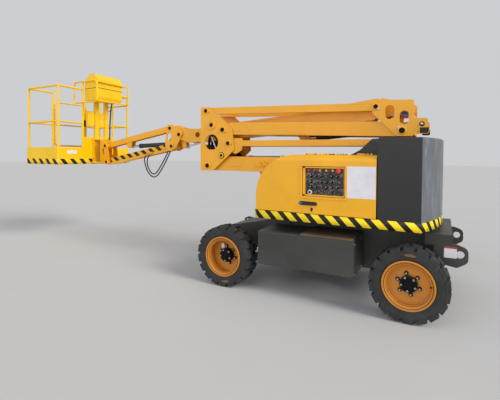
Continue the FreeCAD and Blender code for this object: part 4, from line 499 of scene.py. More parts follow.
# %% Striped tape
def striped(name, repeat, slant, share, yellow, black):
    """Slanted two-colour tape; repeat and slant in metres, share of yellow in each repeat."""
    finish, tree, output = new_finish(name)
    metres = add(tree, "ShaderNodeUVMap", {"uv_map": "metres"})
    parts = add(tree, "ShaderNodeSeparateXYZ", links={"Vector": metres.outputs["UV"]})
    lean = add(tree, "ShaderNodeMath", {"operation": "MULTIPLY", 1: slant},
               {0: parts.outputs["Y"]})
    along = add(tree, "ShaderNodeMath", {"operation": "ADD"},
                {0: parts.outputs["X"], 1: lean.outputs["Value"]})
    turns = add(tree, "ShaderNodeMath", {"operation": "DIVIDE", 1: repeat},
                {0: along.outputs["Value"]})
    part = add(tree, "ShaderNodeMath", {"operation": "FRACT"}, {0: turns.outputs["Value"]})
    is_black = add(tree, "ShaderNodeMath", {"operation": "GREATER_THAN", 1: share},
                   {0: part.outputs["Value"]})
    place = add(tree, "ShaderNodeTexCoord").outputs["Object"]
    grime = add(tree, "ShaderNodeTexNoise", {"Scale": 11.0, "Detail": 6.0}, {"Vector": place})
    settled = add(tree, "ShaderNodeMapRange", {"From Min": 0.45, "From Max": 0.8, "To Min": 0.0,
                                               "To Max": 0.4}, {"Value": grime.outputs["Fac"]})
    tint = add(tree, "ShaderNodeMix", {"data_type": "RGBA", 6: paint(yellow), 7: paint("#D8A820")},
               {0: settled.outputs["Result"]})
    night = add(tree, "ShaderNodeMix", {"data_type": "RGBA", 6: paint(black), 7: paint("#2A2B2C")},
                {0: settled.outputs["Result"]})
    both = add(tree, "ShaderNodeMix", {"data_type": "RGBA"},
               {0: is_black.outputs["Value"], 6: tint.outputs[2], 7: night.outputs[2]})
    uneven = add(tree, "ShaderNodeMapRange", {"To Min": 0.45, "To Max": 0.65},
                 {"Value": grime.outputs["Fac"]})
    skin = add(tree, "ShaderNodeBsdfPrincipled", {"IOR": 1.46},
               {"Base Color": both.outputs[2], "Roughness": uneven.outputs["Result"]})
    tree.links.new(skin.outputs["BSDF"], output.inputs["Surface"])
    return finish


TAPE_T = 0.0008


def tape(name, path, low, high, finish, body, flip=False):
    """Thin upright tape along a path of (x, y), with a map of metres on it."""
    work = bmesh.new()
    metres = work.loops.layers.uv.new("metres")
    run = 0.0
    rows = []
    for i, (x, y) in enumerate(path):
        if i:
            run += math.dist(path[i - 1], path[i])
        rows.append((work.verts.new(at(x, y, low)), work.verts.new(at(x, y, high)), run))
    for (a_low, a_high, a_run), (b_low, b_high, b_run) in zip(rows, rows[1:]):
        face = work.faces.new([a_low, b_low, b_high, a_high])
        spots = [(a_run, 0), (b_run, 0), (b_run, high - low), (a_run, high - low)]
        for loop, spot in zip(face.loops, spots):
            loop[metres].uv = spot
    if flip:
        bmesh.ops.reverse_faces(work, faces=work.faces)
    mesh = bpy.data.meshes.new(name)
    work.to_mesh(mesh)
    work.free()
    mesh.shade_smooth()
    mesh.materials.append(finish)
    made = bpy.data.objects.new(name, mesh)
    bpy.context.scene.collection.objects.link(made)
    body_of_film = made.modifiers.new("film", "SOLIDIFY")
    body_of_film.thickness = TAPE_T
    body_of_film.offset = 1.0
    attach(made, body)
    return made


# %% [markdown]
# ## The hanging hoses
# Two hydraulic hoses leave fittings on the left of the jib's lower arm, hang in two loops, one
# inside the other, and go up between the plates of the jib's knuckle. They are free, so they
# sag under their own weight. Each is a smooth curve whose control points are the corners of
# the route of its solid.

# %% Hoses of the jib
HOSE_D = 0.018
HOSE_Y = 0.0795
OUTER_ROUTE = [(3.925, 1.541), (3.982, 1.494), (3.966, 1.392), (3.905, 1.258), (3.795, 1.172),
               (3.688, 1.214), (3.566, 1.382), (3.456, 1.566), (3.424, 1.630)]
INNER_ROUTE = [(3.840, 1.556), (3.900, 1.512), (3.926, 1.400), (3.868, 1.282), (3.790, 1.222),
               (3.712, 1.258), (3.606, 1.400), (3.500, 1.566), (3.466, 1.622)]
for loop, route, length in (("outer", OUTER_ROUTE, 1.051), ("inner", INNER_ROUTE, 0.927)):
    hose = pipes("hanging_hose_" + loop, [[(x, HOSE_Y, z) for x, z in route]], HOSE_D,
                 black_rubber_and_shade, "jib_arm")
    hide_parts("jib_hose_" + loop)
    print("hose", loop, "about", length, "m")

# %% [markdown]
# ## Finishes for the solids
# The solids keep their shapes and get the finishes of the real parts. Each line names a finish
# and the nodes that wear it.

# %% Dress the solids
SOLID_FINISHES = [
    (tyre_rubber, ["tyre_rear_left", "tyre_rear_right", "tyre_front_left", "tyre_front_right"]),
    (rim_enamel, ["rim_rear_left", "rim_rear_right", "rim_front_left", "rim_front_right"]),
    (chassis_enamel, ["chassis_frame", "side_boxes", "rear_axle", "front_axle",
                      "steer_knuckle_left", "steer_knuckle_right", "tie_rod"]),
    (machined_steel, ["slew_ring"]),
    (weight_enamel, ["counterweight"]),
    (charcoal_enamel, ["turntable_base", "turret", "hood_walls",
                       "riser_cylinder_barrel", "lift_cylinder_barrel", "jib_cylinder_barrel",
                       "level_cylinder_barrel"]),
    (cast_iron, ["engine", "tank"]),
    (printed_panel, ["ground_console"]),
    (hood_enamel, ["hood_left", "hood_right"]),
    (shaded_amber_enamel, ["lower_arm", "lower_link", "front_knuckle", "upper_arm", "upper_link",
                    "rear_knuckle", "main_boom", "fly_boom", "jib_knuckle", "jib_arm",
                    "jib_link", "jib_head"]),
    (pad_polyamide, ["boom_pads"]),
    (sunlit_yellow_enamel, ["platform_mount", "platform_floor", "platform_rails", "platform_gate",
                   "console_guard", "console_box", "console_lid"]),
    (hard_chrome_rod, ["riser_cylinder_rod", "lift_cylinder_rod", "jib_cylinder_rod",
                       "level_cylinder_rod"]),
]
for finish, names in SOLID_FINISHES:
    for name in names:
        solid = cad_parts[name]
        if solid.material_slots:
            for slot in solid.material_slots:
                slot.material = finish
        else:
            solid.data.materials.append(finish)
print("solids dressed:", sum(len(names) for _, names in SOLID_FINISHES))

# %% [markdown]
# ## Tyres
# The tyres are narrow industrial ones with eighteen lugs in each of two rows. A lug is a tall
# block that reaches over the shoulder and down the wall, wider at its foot than at its top.
# Turning one profile gives the smooth body, and each lug is a small tapered block set round it,
# half a step apart from one row to the other. Ribs on the wall come from the same profile. A
# blank raised oval on the wall has caught brown dust.

# %% Build a tyre
TYRE_R, TYRE_W, LUGS = 0.355, 0.24, 18
TREAD_FLOOR_R = 0.331
TYRE_Y = 0.755
# distance from the middle, radius: from the inner bead round the tread to the outer bead
CARCASS = [(-0.106, 0.2335), (-0.114, 0.244), (-0.118, 0.262), (-0.1165, 0.268), (-0.1185, 0.274),
           (-0.1185, 0.296), (-0.115, 0.316), (-0.102, 0.328), (-0.05, 0.3305), (0, TREAD_FLOOR_R),
           (0.05, 0.3305), (0.102, 0.328), (0.115, 0.316), (0.1185, 0.296), (0.1185, 0.274),
           (0.1165, 0.268), (0.118, 0.262), (0.114, 0.244), (0.106, 0.2335)]
# arc from the lug's middle, distance from the tyre's middle, radius of top or foot
LUG_TOP = [(-0.042, 0.1130), (0.046, 0.1130), (0.050, 0.060), (0.034, 0.006), (-0.030, 0.006),
           (-0.048, 0.050)]
LUG_FOOT = [(-0.047, 0.1195), (0.051, 0.1195), (0.055, 0.060), (0.038, 0.001), (-0.035, 0.001),
            (-0.053, 0.050)]
LUG_HEEL_R = 0.312


def lug(centre, angle, side):
    """One tapered lug; side is 1 or -1 along the axle."""
    points = []
    for outline, level in ((LUG_TOP, TYRE_R - 0.001), (LUG_FOOT, TREAD_FLOOR_R - 0.006)):
        for k, (arc, y) in enumerate(outline):
            radius = level if level > TREAD_FLOOR_R or k > 1 else LUG_HEEL_R
            turn = angle + side * arc / TYRE_R
            points.append(centre + Vector((math.sin(turn) * radius, side * y,
                                           math.cos(turn) * radius)))
    faces = [list(range(6)), list(range(6, 12))]
    faces += [[i, (i + 1) % 6, 6 + (i + 1) % 6, 6 + i] for i in range(6)]
    return points, faces


def tyre_shapes(x, side):
    """Body and lugs of one tyre, whose middle is at x on the given side."""
    centre = at(x, side * TYRE_Y, TYRE_R)
    shapes = [turned(CARCASS, centre, (0, side, 0), 96, closed=True)]
    pitch = 2 * math.pi / LUGS
    for k in range(LUGS):
        shapes.append(lug(centre, pitch * k, 1))
        shapes.append(lug(centre, pitch * (k + 0.5), -1))
    return shapes


WHEELS = [("rear", 0.0, 0.078), ("front", 2.0, 0.138)]
for end, x, dish in WHEELS:
    for side_name, side in (("left", 1), ("right", -1)):
        wheel = end + "_" + side_name
        tyre = piece("lug_tyre_" + wheel, tyre_shapes(x, side), tyre_rubber,
                     "wheel_" + wheel, bevel=0.003)
        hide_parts("tyre_" + wheel)
        turn = math.radians(3 if end == "rear" else 172)
        middle = at(x, side * TYRE_Y, TYRE_R)
        oval = []
        for level in (0.1178, 0.1198):
            for k in range(24):
                angle = 2 * math.pi * k / 24
                spread, radius = 0.048 * math.cos(angle), 0.286 + 0.013 * math.sin(angle)
                way = turn + spread / 0.285
                oval.append(middle + Vector((-math.sin(way) * radius, side * level,
                                             math.cos(way) * radius)))
        ring = [[i, (i + 1) % 24, 24 + (i + 1) % 24, 24 + i] for i in range(24)]
        piece("tyre_oval_" + wheel, [(oval, [list(range(24)), list(range(24, 48))] + ring)],
              brown_dust_and_shade_rubber, "wheel_" + wheel)
print("tyres with", LUGS * 2, "lugs")

# %% [markdown]
# ## Rims and hubs
# The rims are deep dishes with a split lock ring round the outer flange. A dark hub cover and
# six wheel nuts show in the dish. They are turned rings and small hexagons, and the nuts sit
# in black washers, because the photographed ones do.

# %% Lock rings, hub covers and nuts
NUT_CIRCLE_R = 0.101
COVER_BOLT_R = 0.062


def spokes(centre, radius, count, start=0.0):
    """Points on a circle about the axle."""
    for k in range(count):
        angle = 2 * math.pi * k / count + start
        yield centre + Vector((math.sin(angle) * radius, 0, math.cos(angle) * radius))


for end, x, dish in WHEELS:
    for side_name, side in (("left", 1), ("right", -1)):
        wheel = end + "_" + side_name
        body = "wheel_" + wheel
        axis = (0, side, 0)
        lip = at(x, side * 0.868, TYRE_R)
        ring = turned([(0, 0.212), (0.006, 0.216), (0.010, 0.224), (0.008, 0.2325), (0.001, 0.2338),
                       (-0.004, 0.226), (-0.004, 0.212)], lip, axis, 64, closed=True)
        bead = turned([(-0.022, 0.1925), (-0.017, 0.1875), (-0.022, 0.1825), (-0.030, 0.1880)],
                      lip, axis, 64, closed=True)
        piece("lock_ring_" + wheel, [ring, bead], rim_enamel, body, bevel=0.0008)
        split = turned([(0.0065, 0.2085), (0.0078, 0.2100), (0.0065, 0.2125), (0.0040, 0.2105)],
                       lip, axis, 64, closed=True)
        piece("lock_ring_joint_" + wheel, [split], panel_abs, body)
        disc = at(x, side * (0.875 - dish - 0.010), TYRE_R)
        # the steered hubs stand further out of their dishes
        out = 0.045 if end == "front" else 0.0
        cover = turned([(0.001, 0.080), (out + 0.022, 0.080), (out + 0.031, 0.075),
                        (out + 0.033, 0.050), (out + 0.041, 0.046), (out + 0.042, 0.026),
                        (out + 0.037, 0.020)], disc, axis, 48)
        piece("hub_cover_" + wheel, [cover], black_oxide_steel, body, bevel=0.001)
        nuts, washers = [], []
        for spot in spokes(disc, NUT_CIRCLE_R, 6, 0.2):
            washers.append(turned([(0.0005, 0.019), (0.010, 0.019), (0.013, 0.015)], spot, axis, 24))
            nuts.append(turned([(0.010, 0.0115), (0.022, 0.0115), (0.025, 0.009)], spot, axis, 6))
            nuts.append(rod(spot, spot + Vector((0, side * 0.032, 0)), 0.006, 12))
        for spot in spokes(disc, COVER_BOLT_R, 5, 0.5):
            nuts += bolt(spot + Vector((0, side * (out + 0.030), 0)), axis, 0.008)
        piece("nut_washers_" + wheel, washers, black_oxide_steel, body)
        piece("wheel_nuts_" + wheel, nuts, zinc_plated_steel, body)
        valve = at(x - 0.19, side * 0.862, TYRE_R + 0.02)
        stem = turned([(0, 0.007), (0.012, 0.007), (0.012, 0.005), (0.022, 0.005)], valve, axis, 14)
        piece("valve_" + wheel, [stem], black_oxide_steel, body)
tag = at(2.062, 0.755, TYRE_R + 0.10)
tag_points = [tag + Vector((dx, dy, dz)) for dy in (0.0, 0.0012)
              for dx, dz in ((-0.022, -0.020), (0.016, -0.030), (0.024, 0.018), (-0.014, 0.028))]
piece("rim_tag", [(tag_points, [[0, 1, 2, 3], [4, 5, 6, 7], [0, 1, 5, 4], [1, 2, 6, 5], [2, 3, 7, 6],
                                [3, 0, 4, 7]])], white_film, "wheel_front_left")
print("rims dressed")

# %% [markdown]
# ## Stripes round the turntable and the platform
# The turntable's edge carries striped tape along both sides and round the curved tail, and the
# platform's kick boards carry it all round near the floor. The paths follow the plan outlines
# of the solids, one millimetre outside them.

# %% Turntable tape
PROUD = 0.001
TABLE_Y, TABLE_FRONT_X, TABLE_REAR_X, TABLE_TAIL_X = 0.8, 1.63, -0.1, -0.27
TABLE_STRIPES = striped("turntable_hazard_tape", 0.153, 0.95, 0.54, "#FFDE08", "#0B0C0E")


def tail_path(out):
    """The curved tail of the turntable from left to right, pushed out by a distance."""
    depth = TABLE_REAR_X - TABLE_TAIL_X
    radius = (TABLE_Y ** 2 + depth ** 2) / (2 * depth)
    half = math.asin(TABLE_Y / radius)
    middle_x = TABLE_TAIL_X + radius
    path = []
    for k in range(33):
        angle = half - 2 * half * k / 32
        path.append((middle_x - (radius + out) * math.cos(angle), (radius + out) * math.sin(angle)))
    return path


cut = 0.04
edge = [(TABLE_FRONT_X + PROUD, 0), (TABLE_FRONT_X + PROUD, TABLE_Y - cut),
        (TABLE_FRONT_X - cut, TABLE_Y + PROUD), (TABLE_REAR_X, TABLE_Y + PROUD)]
edge += tail_path(PROUD)[1:-1]
edge += [(x, -y) for x, y in reversed(edge[:4])]
tape("turntable_tape", edge, 0.8402, 0.9298, TABLE_STRIPES, "turntable")

# %% Platform tape
CAGE_X, CAGE_Y, CAGE_LOW = (5.17, 6.0), 0.75, 1.37
CAGE_STRIPES = striped("platform_hazard_tape", 0.176, -0.9, 0.55, "#FFCC04", "#0B0C0E")
corner = 0.024
ring = rounded([(CAGE_X[0] - PROUD, -CAGE_Y - PROUD, corner), (CAGE_X[0] - PROUD, CAGE_Y + PROUD, corner),
                (CAGE_X[1] + PROUD, CAGE_Y + PROUD, corner),
                (CAGE_X[1] + PROUD, -CAGE_Y - PROUD, corner)], 8)
tape("platform_tape", ring + ring[:1], CAGE_LOW + 0.004, CAGE_LOW + 0.092, CAGE_STRIPES, "platform",
     flip=True)
print("tape laid")

# %% [markdown]
# ## The ground controls
# Behind a framed window in the left hood is a black panel with two red and three amber lamps,
# a red emergency button, a key switch and a few round switches. The frame is a pressed edge in
# the hood's own colour. A white plate beside it is blank.

# %% Window frame and panel
HOOD_Y = 0.8
WINDOW_X, WINDOW_Z = (0.602, 1.053), (1.116, 1.435)
PANEL_Y = 0.772


def frame_bars(x, z, width, low, high):
    """Four bars round a window in side view."""
    return [block((x[0] - width, x[0]), (low, high), (z[0] - width, z[1] + width)),
            block((x[1], x[1] + width), (low, high), (z[0] - width, z[1] + width)),
            block(x, (low, high), (z[0] - width, z[0])), block(x, (low, high), (z[1], z[1] + width))]


piece("window_frame", frame_bars(WINDOW_X, WINDOW_Z, 0.022, HOOD_Y - 0.001, HOOD_Y + 0.007),
      hood_enamel, "hood_left", bevel=0.002)
step = [block((WINDOW_X[1] - 0.030, WINDOW_X[1]), (PANEL_Y, HOOD_Y - 0.006), WINDOW_Z),
        block((WINDOW_X[0], WINDOW_X[0] + 0.010), (PANEL_Y, HOOD_Y - 0.006), WINDOW_Z),
        block(WINDOW_X, (PANEL_Y, HOOD_Y - 0.006), (WINDOW_Z[0], WINDOW_Z[0] + 0.020)),
        block(WINDOW_X, (PANEL_Y, HOOD_Y - 0.006), (WINDOW_Z[1] - 0.020, WINDOW_Z[1]))]
piece("window_step", step, hood_enamel, "hood_left", bevel=0.001)
# a thin brown strip just inside the window's edge is painted shade in the recess of the frame
piece("window_recess_shade_strip", frame_bars((WINDOW_X[0] + 0.005, WINDOW_X[1] - 0.005),
                                (WINDOW_Z[0] + 0.005, WINDOW_Z[1] - 0.005), 0.0045,
                                HOOD_Y - 0.02, HOOD_Y - 0.003),
      brown_dust_and_shade_rubber, "hood_left", bevel=0.001)


def knob(x, z, radius, height, body_y=PANEL_Y, steps=28):
    """Round knob or lamp standing out of the panel."""
    return turned([(0, radius * 1.25), (height * 0.25, radius * 1.25), (height * 0.3, radius),
                   (height * 0.85, radius), (height, radius * 0.7)], at(x, body_y, z), (0, 1, 0), steps)


LAMP_Z = 1.392
piece("red_lamps", [knob(x, LAMP_Z, 0.010, 0.016) for x in (0.99, 0.93)], red_lens, "turntable")
piece("amber_lamps", [knob(x, LAMP_Z, 0.010, 0.016) for x in (0.866, 0.80, 0.732)],
      amber_lens, "turntable")
piece("stop_button", [turned([(0, 0.012), (0.016, 0.012), (0.018, 0.024), (0.024, 0.026),
                              (0.030, 0.020), (0.032, 0.010)], at(0.668, PANEL_Y, LAMP_Z),
                             (0, 1, 0), 32)], red_lens, "turntable", bevel=0.001)
switch_rows = [knob(0.96 - 0.055 * k, z, 0.012, 0.012) for k in range(6) for z in (1.330, 1.270, 1.215)
               if (k + round(z * 100)) % 4]
piece("toggle_seats", switch_rows, black_oxide_steel, "turntable")
levers = []
for k in range(6):
    for z in (1.330, 1.270, 1.215):
        if (k + round(z * 100)) % 4:
            foot = at(0.96 - 0.055 * k, PANEL_Y + 0.010, z)
            levers.append(turned([(0, 0.0035), (0.014, 0.0028), (0.018, 0.0045), (0.022, 0.0035)],
                                 foot, (0, 1, 0.35), 12))
piece("toggle_levers", levers, zinc_plated_steel, "turntable")
dial = [turned([(0, 0.024), (0.006, 0.024), (0.008, 0.021)], at(0.975, PANEL_Y, 1.160), (0, 1, 0), 36)]
piece("hour_meter_rim", dial, white_film, "turntable")
piece("hour_meter_face", [turned([(0, 0.014), (0.0095, 0.014), (0.0105, 0.012)],
                                 at(0.975, PANEL_Y, 1.160), (0, 1, 0), 30)], panel_abs, "turntable")
plates = [block((x, x + 0.085), (PANEL_Y - 0.001, PANEL_Y + 0.0015), (z, z + 0.022))
          for x in (0.64, 0.75, 0.86) for z in (1.296, 1.238)]
piece("switch_plates", plates, cast_iron, "turntable", bevel=0.0006)
piece("panel_screws", sum([bolt(at(x, PANEL_Y, z), (0, 1, 0), 0.005)
                           for x in (0.622, 1.033) for z in (1.136, 1.415)], []),
      zinc_plated_steel, "turntable")
print("ground controls made")

# %% [markdown]
# ## Hood fittings
# The hood has a black pull latch with a lock, a keyhole cover and louvres on the engine side.
# The white plate is thin vinyl with rounded corners.

# %% Plate, latch and keyhole
piece("chart_plate", [block((0.306, 0.595), (HOOD_Y, HOOD_Y + 0.0012), (1.124, 1.441), 0.006)],
      white_film, "hood_left")
latch = [plate([(0.887, 1.022, 0.018), (1.085, 1.020, 0.020), (1.085, 1.064, 0.020),
                (0.887, 1.060, 0.018)], HOOD_Y, HOOD_Y + 0.006),
         plate([(0.895, 1.028, 0.012), (1.040, 1.028, 0.012), (1.040, 1.052, 0.012),
                (0.895, 1.052, 0.012)], HOOD_Y + 0.005, HOOD_Y + 0.024)]
piece("hood_latch", latch, panel_abs, "hood_left", bevel=0.002)
piece("latch_lock", [turned([(0, 0.011), (0.012, 0.011), (0.014, 0.008)],
                            at(1.064, HOOD_Y + 0.004, 1.042), (0, 1, 0), 24)], blue_lens, "hood_left")
piece("keyhole_cover", [turned([(0, 0.014), (0.005, 0.014), (0.008, 0.010)],
                               at(0.946, HOOD_Y, 0.985), (0, 1, 0), 24),
                        block((0.938, 0.954), (HOOD_Y, HOOD_Y + 0.005), (0.958, 0.985), 0.004)],
      panel_abs, "hood_left", bevel=0.0008)
twin = [turned([(0, 0.011), (0.012, 0.011), (0.014, 0.008)], at(1.064, HOOD_Y + 0.004, 1.042),
               (0, 1, 0), 24)]
piece("hood_latch_right", [mirrored(shape) for shape in latch + twin], panel_abs, "hood_right",
      bevel=0.002)

caps = [turned([(0, 0.016), (0.008, 0.016), (0.015, 0.011), (0.018, 0.004)],
               at(group + 0.039 * k, 0.458, 1.5545), (0, 0, 1), 20)
        for group in (0.403, 0.878) for k in range(4)]
piece("hinge_bolt_caps", caps, hood_enamel, "hood_left")
piece("hinge_bolt_caps_right", [mirrored(shape) for shape in caps], hood_enamel, "hood_right")

# %% Louvres on the engine's side
louvres = []
for row in range(9):
    z = 1.16 + 0.032 * row
    for x0 in (0.50, 0.84, 1.18):
        wide = 0.27 if x0 < 1.1 else 0.20
        louvres.append(plate([(-HOOD_Y - 0.014, z), (-HOOD_Y + 0.001, z + 0.020), (-HOOD_Y + 0.001, z - 0.004)],
                             x0, x0 + wide, "yz"))
piece("hood_louvres", louvres, hood_enamel, "hood_right", bevel=0.0008)
print("hood fittings made")

# %% [markdown]
# ## Pins and their keepers
# Every pivot of the arms is a blackened pin. Its round end shows in the plate, with a small
# painted keeper plate and its bolt that stop it from turning. One function makes the ends on
# both sides from a table of pivots. The front knuckle also has a cross-tube with a plugged end
# in its upper boss, and one in its lower hole whose black end is ringed in lighter yellow as a painted
# highlight.

# %% Pins of the arms
# body, x, z, outer face of the plate, radius of the pin, direction of its keeper in degrees
PINS = [("front_knuckle", 2.668, 2.156, 0.2545, 0.026, 210), ("front_knuckle", 2.396, 1.886, 0.2545, 0.030, 215),
        ("front_knuckle", 2.307, 1.702, 0.2545, 0.026, 190), ("front_knuckle", 2.639, 1.395, 0.2545, 0.030, 180),
        ("rear_knuckle", 0.400, 2.093, 0.2545, 0.024, 222), ("rear_knuckle", 0.128, 1.823, 0.2545, 0.030, 45),
        ("turntable", 0.735, 1.390, 0.2725, 0.030, 135),
        ("jib_knuckle", 3.257, 1.847, 0.1115, 0.026, 200), ("jib_knuckle", 3.430, 1.946, 0.1115, 0.024, 20),
        ("jib_knuckle", 3.400, 1.672, 0.1115, 0.024, 160),
        ("jib_head", 4.840, 1.684, 0.1115, 0.024, 200), ("jib_head", 4.810, 1.410, 0.1115, 0.024, 200)]


def pin_end(x, y, z, radius):
    """Round end of a pin, standing a little out of its plate."""
    return turned([(-0.004, radius), (0.008, radius), (0.011, radius - 0.003), (0.0105, radius * 0.35),
                   (0.007, radius * 0.28)], at(x, y, z), (0, 1, 0), 32)


def keeper(x, y, z, radius, direction):
    """Small keeper plate that bites into the pin's edge, with its bolt beside the pin."""
    way = Vector((math.cos(math.radians(direction)), math.sin(math.radians(direction))))
    square = Vector((-way.y, way.x)) * 0.013
    middle = Vector((x, z))
    near, far = middle + way * (radius - 0.006), middle + way * (radius + 0.028)
    corners = [(*(spot + offset), 0.004) for spot, offset in ((near, square), (far, square),
                                                             (far, -square), (near, -square))]
    spot = middle + way * (radius + 0.015)
    return plate(corners, y, y + 0.005), bolt(at(spot.x, y + 0.005, spot.y), (0, 1, 0), 0.0095)


for body in sorted({row[0] for row in PINS}):
    ends, bars, bolts, collars = [], [], [], []
    for name, x, z, y, radius, direction in PINS:
        if name != body:
            continue
        ends.append(pin_end(x, y, z, radius))
        bar, fixing = keeper(x, y + 0.002, z, radius, direction)
        bars.append(bar)
        bolts += fixing
        collars.append(turned([(-0.006, radius + 0.016), (0.001, radius + 0.016),
                               (0.003, radius + 0.012), (0.003, radius + 0.001),
                               (-0.006, radius + 0.001)], at(x, y, z), (0, 1, 0), 36, closed=True))
    paint_of_body = charcoal_enamel if body == "turntable" else shaded_amber_enamel
    piece("pin_ends_" + body, both_sides(ends), black_oxide_steel, body)
    piece("pin_collars_" + body, both_sides(collars), paint_of_body, body)
    piece("pin_keepers_" + body, both_sides(bars), paint_of_body, body, bevel=0.001)
    bolt_finish = zinc_plated_steel if body == "rear_knuckle" else paint_of_body
    piece("keeper_bolts_" + body, both_sides(bolts), bolt_finish, body)
sleeve = turned([(-0.022, 0.0438), (0.000, 0.0438), (0.000, 0.0290), (-0.022, 0.0290)],
                at(2.575, 0.262, 1.957), (0, 1, 0), 36, closed=True)
piece("knuckle_sleeves", both_sides([sleeve]), shaded_amber_enamel, "front_knuckle", bevel=0.001)
plug = turned([(-0.022, 0.0285), (0.002, 0.0285), (0.005, 0.024), (0.006, 0.010)],
              at(2.575, 0.262, 1.957), (0, 1, 0), 36)
tube_end = turned([(-0.010, 0.0435), (0.004, 0.0435), (0.008, 0.040), (0.008, 0.016)],
                  at(2.410, 0.250, 1.536), (0, 1, 0), 36)
# the ring round the lower tube's black end is in the lighter yellow, as a painted highlight
tube_centre = turned([(0.004, 0.0350), (0.010, 0.0350), (0.011, 0.0320), (0.011, 0.0225),
                      (0.004, 0.0225)], at(2.410, 0.250, 1.536), (0, 1, 0), 32, closed=True)
piece("knuckle_plugs", both_sides([plug, tube_end]), black_oxide_steel, "front_knuckle", bevel=0.001)
piece("knuckle_plug_centres", both_sides([tube_centre]), sunlit_yellow_enamel, "front_knuckle")
bracket_bolt = turned([(-0.012, 0.0255), (0.006, 0.0255), (0.009, 0.021), (0.009, 0.008)],
                      at(-0.066, 0.250, 1.888), (0, 1, 0), 28)
piece("bracket_plugs", both_sides([bracket_bolt]), black_oxide_steel, "rear_knuckle", bevel=0.001)
centre = turned([(0.006, 0.015), (0.011, 0.015), (0.013, 0.011)], at(-0.066, 0.250, 1.888), (0, 1, 0), 24)
# a black plate in the bracket's lower corner is painted shade of the bracket's open inside
opening_shade = plate([(-0.047, 1.850, 0.006), (-0.047, 1.790, 0.012), (-0.128, 1.790, 0.012),
                (-0.134, 1.850, 0.006)], 0.2502, 0.2560)
piece("bracket_opening_shade", both_sides([opening_shade]), black_rubber_and_shade, "rear_knuckle", bevel=0.001)
piece("bracket_plug_centres", both_sides([centre]), zinc_plated_steel, "rear_knuckle")
print("pivots with pins:", len(PINS))

# %% [markdown]
# ## Doubler plates on the arms
# The arms are stiffened by thin doubler plates welded on their sides near the pivots. They
# cast fine shadow lines. Each is a plate a few millimetres thick in the arm's own colour.

# %% Doublers
UPPER_DOUBLERS = [[(2.272, 1.962, 0.01), (2.256, 1.881, 0.03), (2.194, 1.859, 0.03),
                   (2.117, 1.858, 0.03), (2.090, 1.900, 0.03), (2.110, 1.957, 0.03)],
                  [(1.983, 1.966, 0.02), (2.019, 1.928, 0.03), (2.019, 1.875, 0.03),
                   (1.982, 1.822, 0.02), (1.20, 1.800, 0.02), (1.20, 1.945, 0.02)]]
LOWER_DOUBLERS = [[(2.320, 1.475, 0.02), (2.257, 1.503, 0.02), (2.148, 1.504, 0.03),
                   (2.102, 1.478, 0.03), (2.116, 1.397, 0.03), (2.300, 1.380, 0.03)],
                  [(1.936, 1.454, 0.02), (1.877, 1.495, 0.02), (1.819, 1.500, 0.02),
                   (1.700, 1.495, 0.02), (1.690, 1.400, 0.03), (1.900, 1.390, 0.03)]]
piece("upper_arm_doublers", both_sides([plate(o, 0.2315, 0.2345) for o in UPPER_DOUBLERS]),
      shaded_amber_enamel, "upper_arm", bevel=0.0015)
piece("lower_arm_doublers", both_sides([plate(o, 0.1995, 0.205) for o in LOWER_DOUBLERS]),
      shaded_amber_enamel, "lower_arm", bevel=0.002)

rings = [turned([(0.0, 0.040), (0.006, 0.040), (0.008, 0.036), (0.008, 0.026), (0.0, 0.026)],
                at(x, 0.232, 1.431), (0, 1, 0), 36, closed=True) for x in (1.810, 1.717)]
piece("lower_arm_rings", both_sides(rings), shaded_amber_enamel, "lower_arm", bevel=0.001)

# %% Boom trim
BOOM_DROP = math.radians(4.7)


def boom_point(u, w):
    """Point (x, z) of the main boom's own line: u along it and w square to it."""
    return (0.1 + u * math.cos(BOOM_DROP) + w * math.sin(BOOM_DROP),
            2.08 - u * math.sin(BOOM_DROP) + w * math.cos(BOOM_DROP))


def boom_plate(corners, low, high):
    """Plate on the boom's side, with its outline in the boom's own line."""
    outline = [(*boom_point(c[0], c[1]), c[2] if len(c) > 2 else 0) for c in corners]
    return plate(outline, low, high)


side_rails = [boom_plate([(0.34, w), (2.61, w), (2.61, w + 0.018), (0.34, w + 0.018)], 0.1095, 0.1135)
              for w in (-0.098, 0.066)]
piece("boom_side_strips", both_sides(side_rails), shaded_amber_enamel, "main_boom", bevel=0.001)
pad_bolts = []
for u in (2.64, 2.675):
    for w in (-0.09, -0.02, 0.05):
        x, z = boom_point(u, w)
        pad_bolts += bolt(at(x, 0.118, z), (0, 1, 0), 0.008)
piece("pad_bolts", both_sides(pad_bolts), zinc_plated_steel, "main_boom")
print("doublers and boom trim made")

# %% Blank plates on the boom's root
root_blue = plate([(0.075, 2.000, 0.003), (0.150, 2.000, 0.003), (0.150, 2.035, 0.003),
                   (0.075, 2.035, 0.003)], 0.1102, 0.1114)
root_red = plate([(0.075, 1.962, 0.003), (0.150, 1.962, 0.003), (0.150, 1.996, 0.003),
                  (0.075, 1.996, 0.003)], 0.1102, 0.1114)
piece("root_plate_blue", [root_blue], blue_lens, "main_boom")
piece("root_plate_red", [root_red], red_film, "main_boom")

# %% [markdown]
# ## Hoses inside the riser
# Black hoses run along the boom and the riser and cross inside the front knuckle, where they
# show through its round window. They are held by clips all the way, so they are pipes that
# ride on one body each, not free cords.

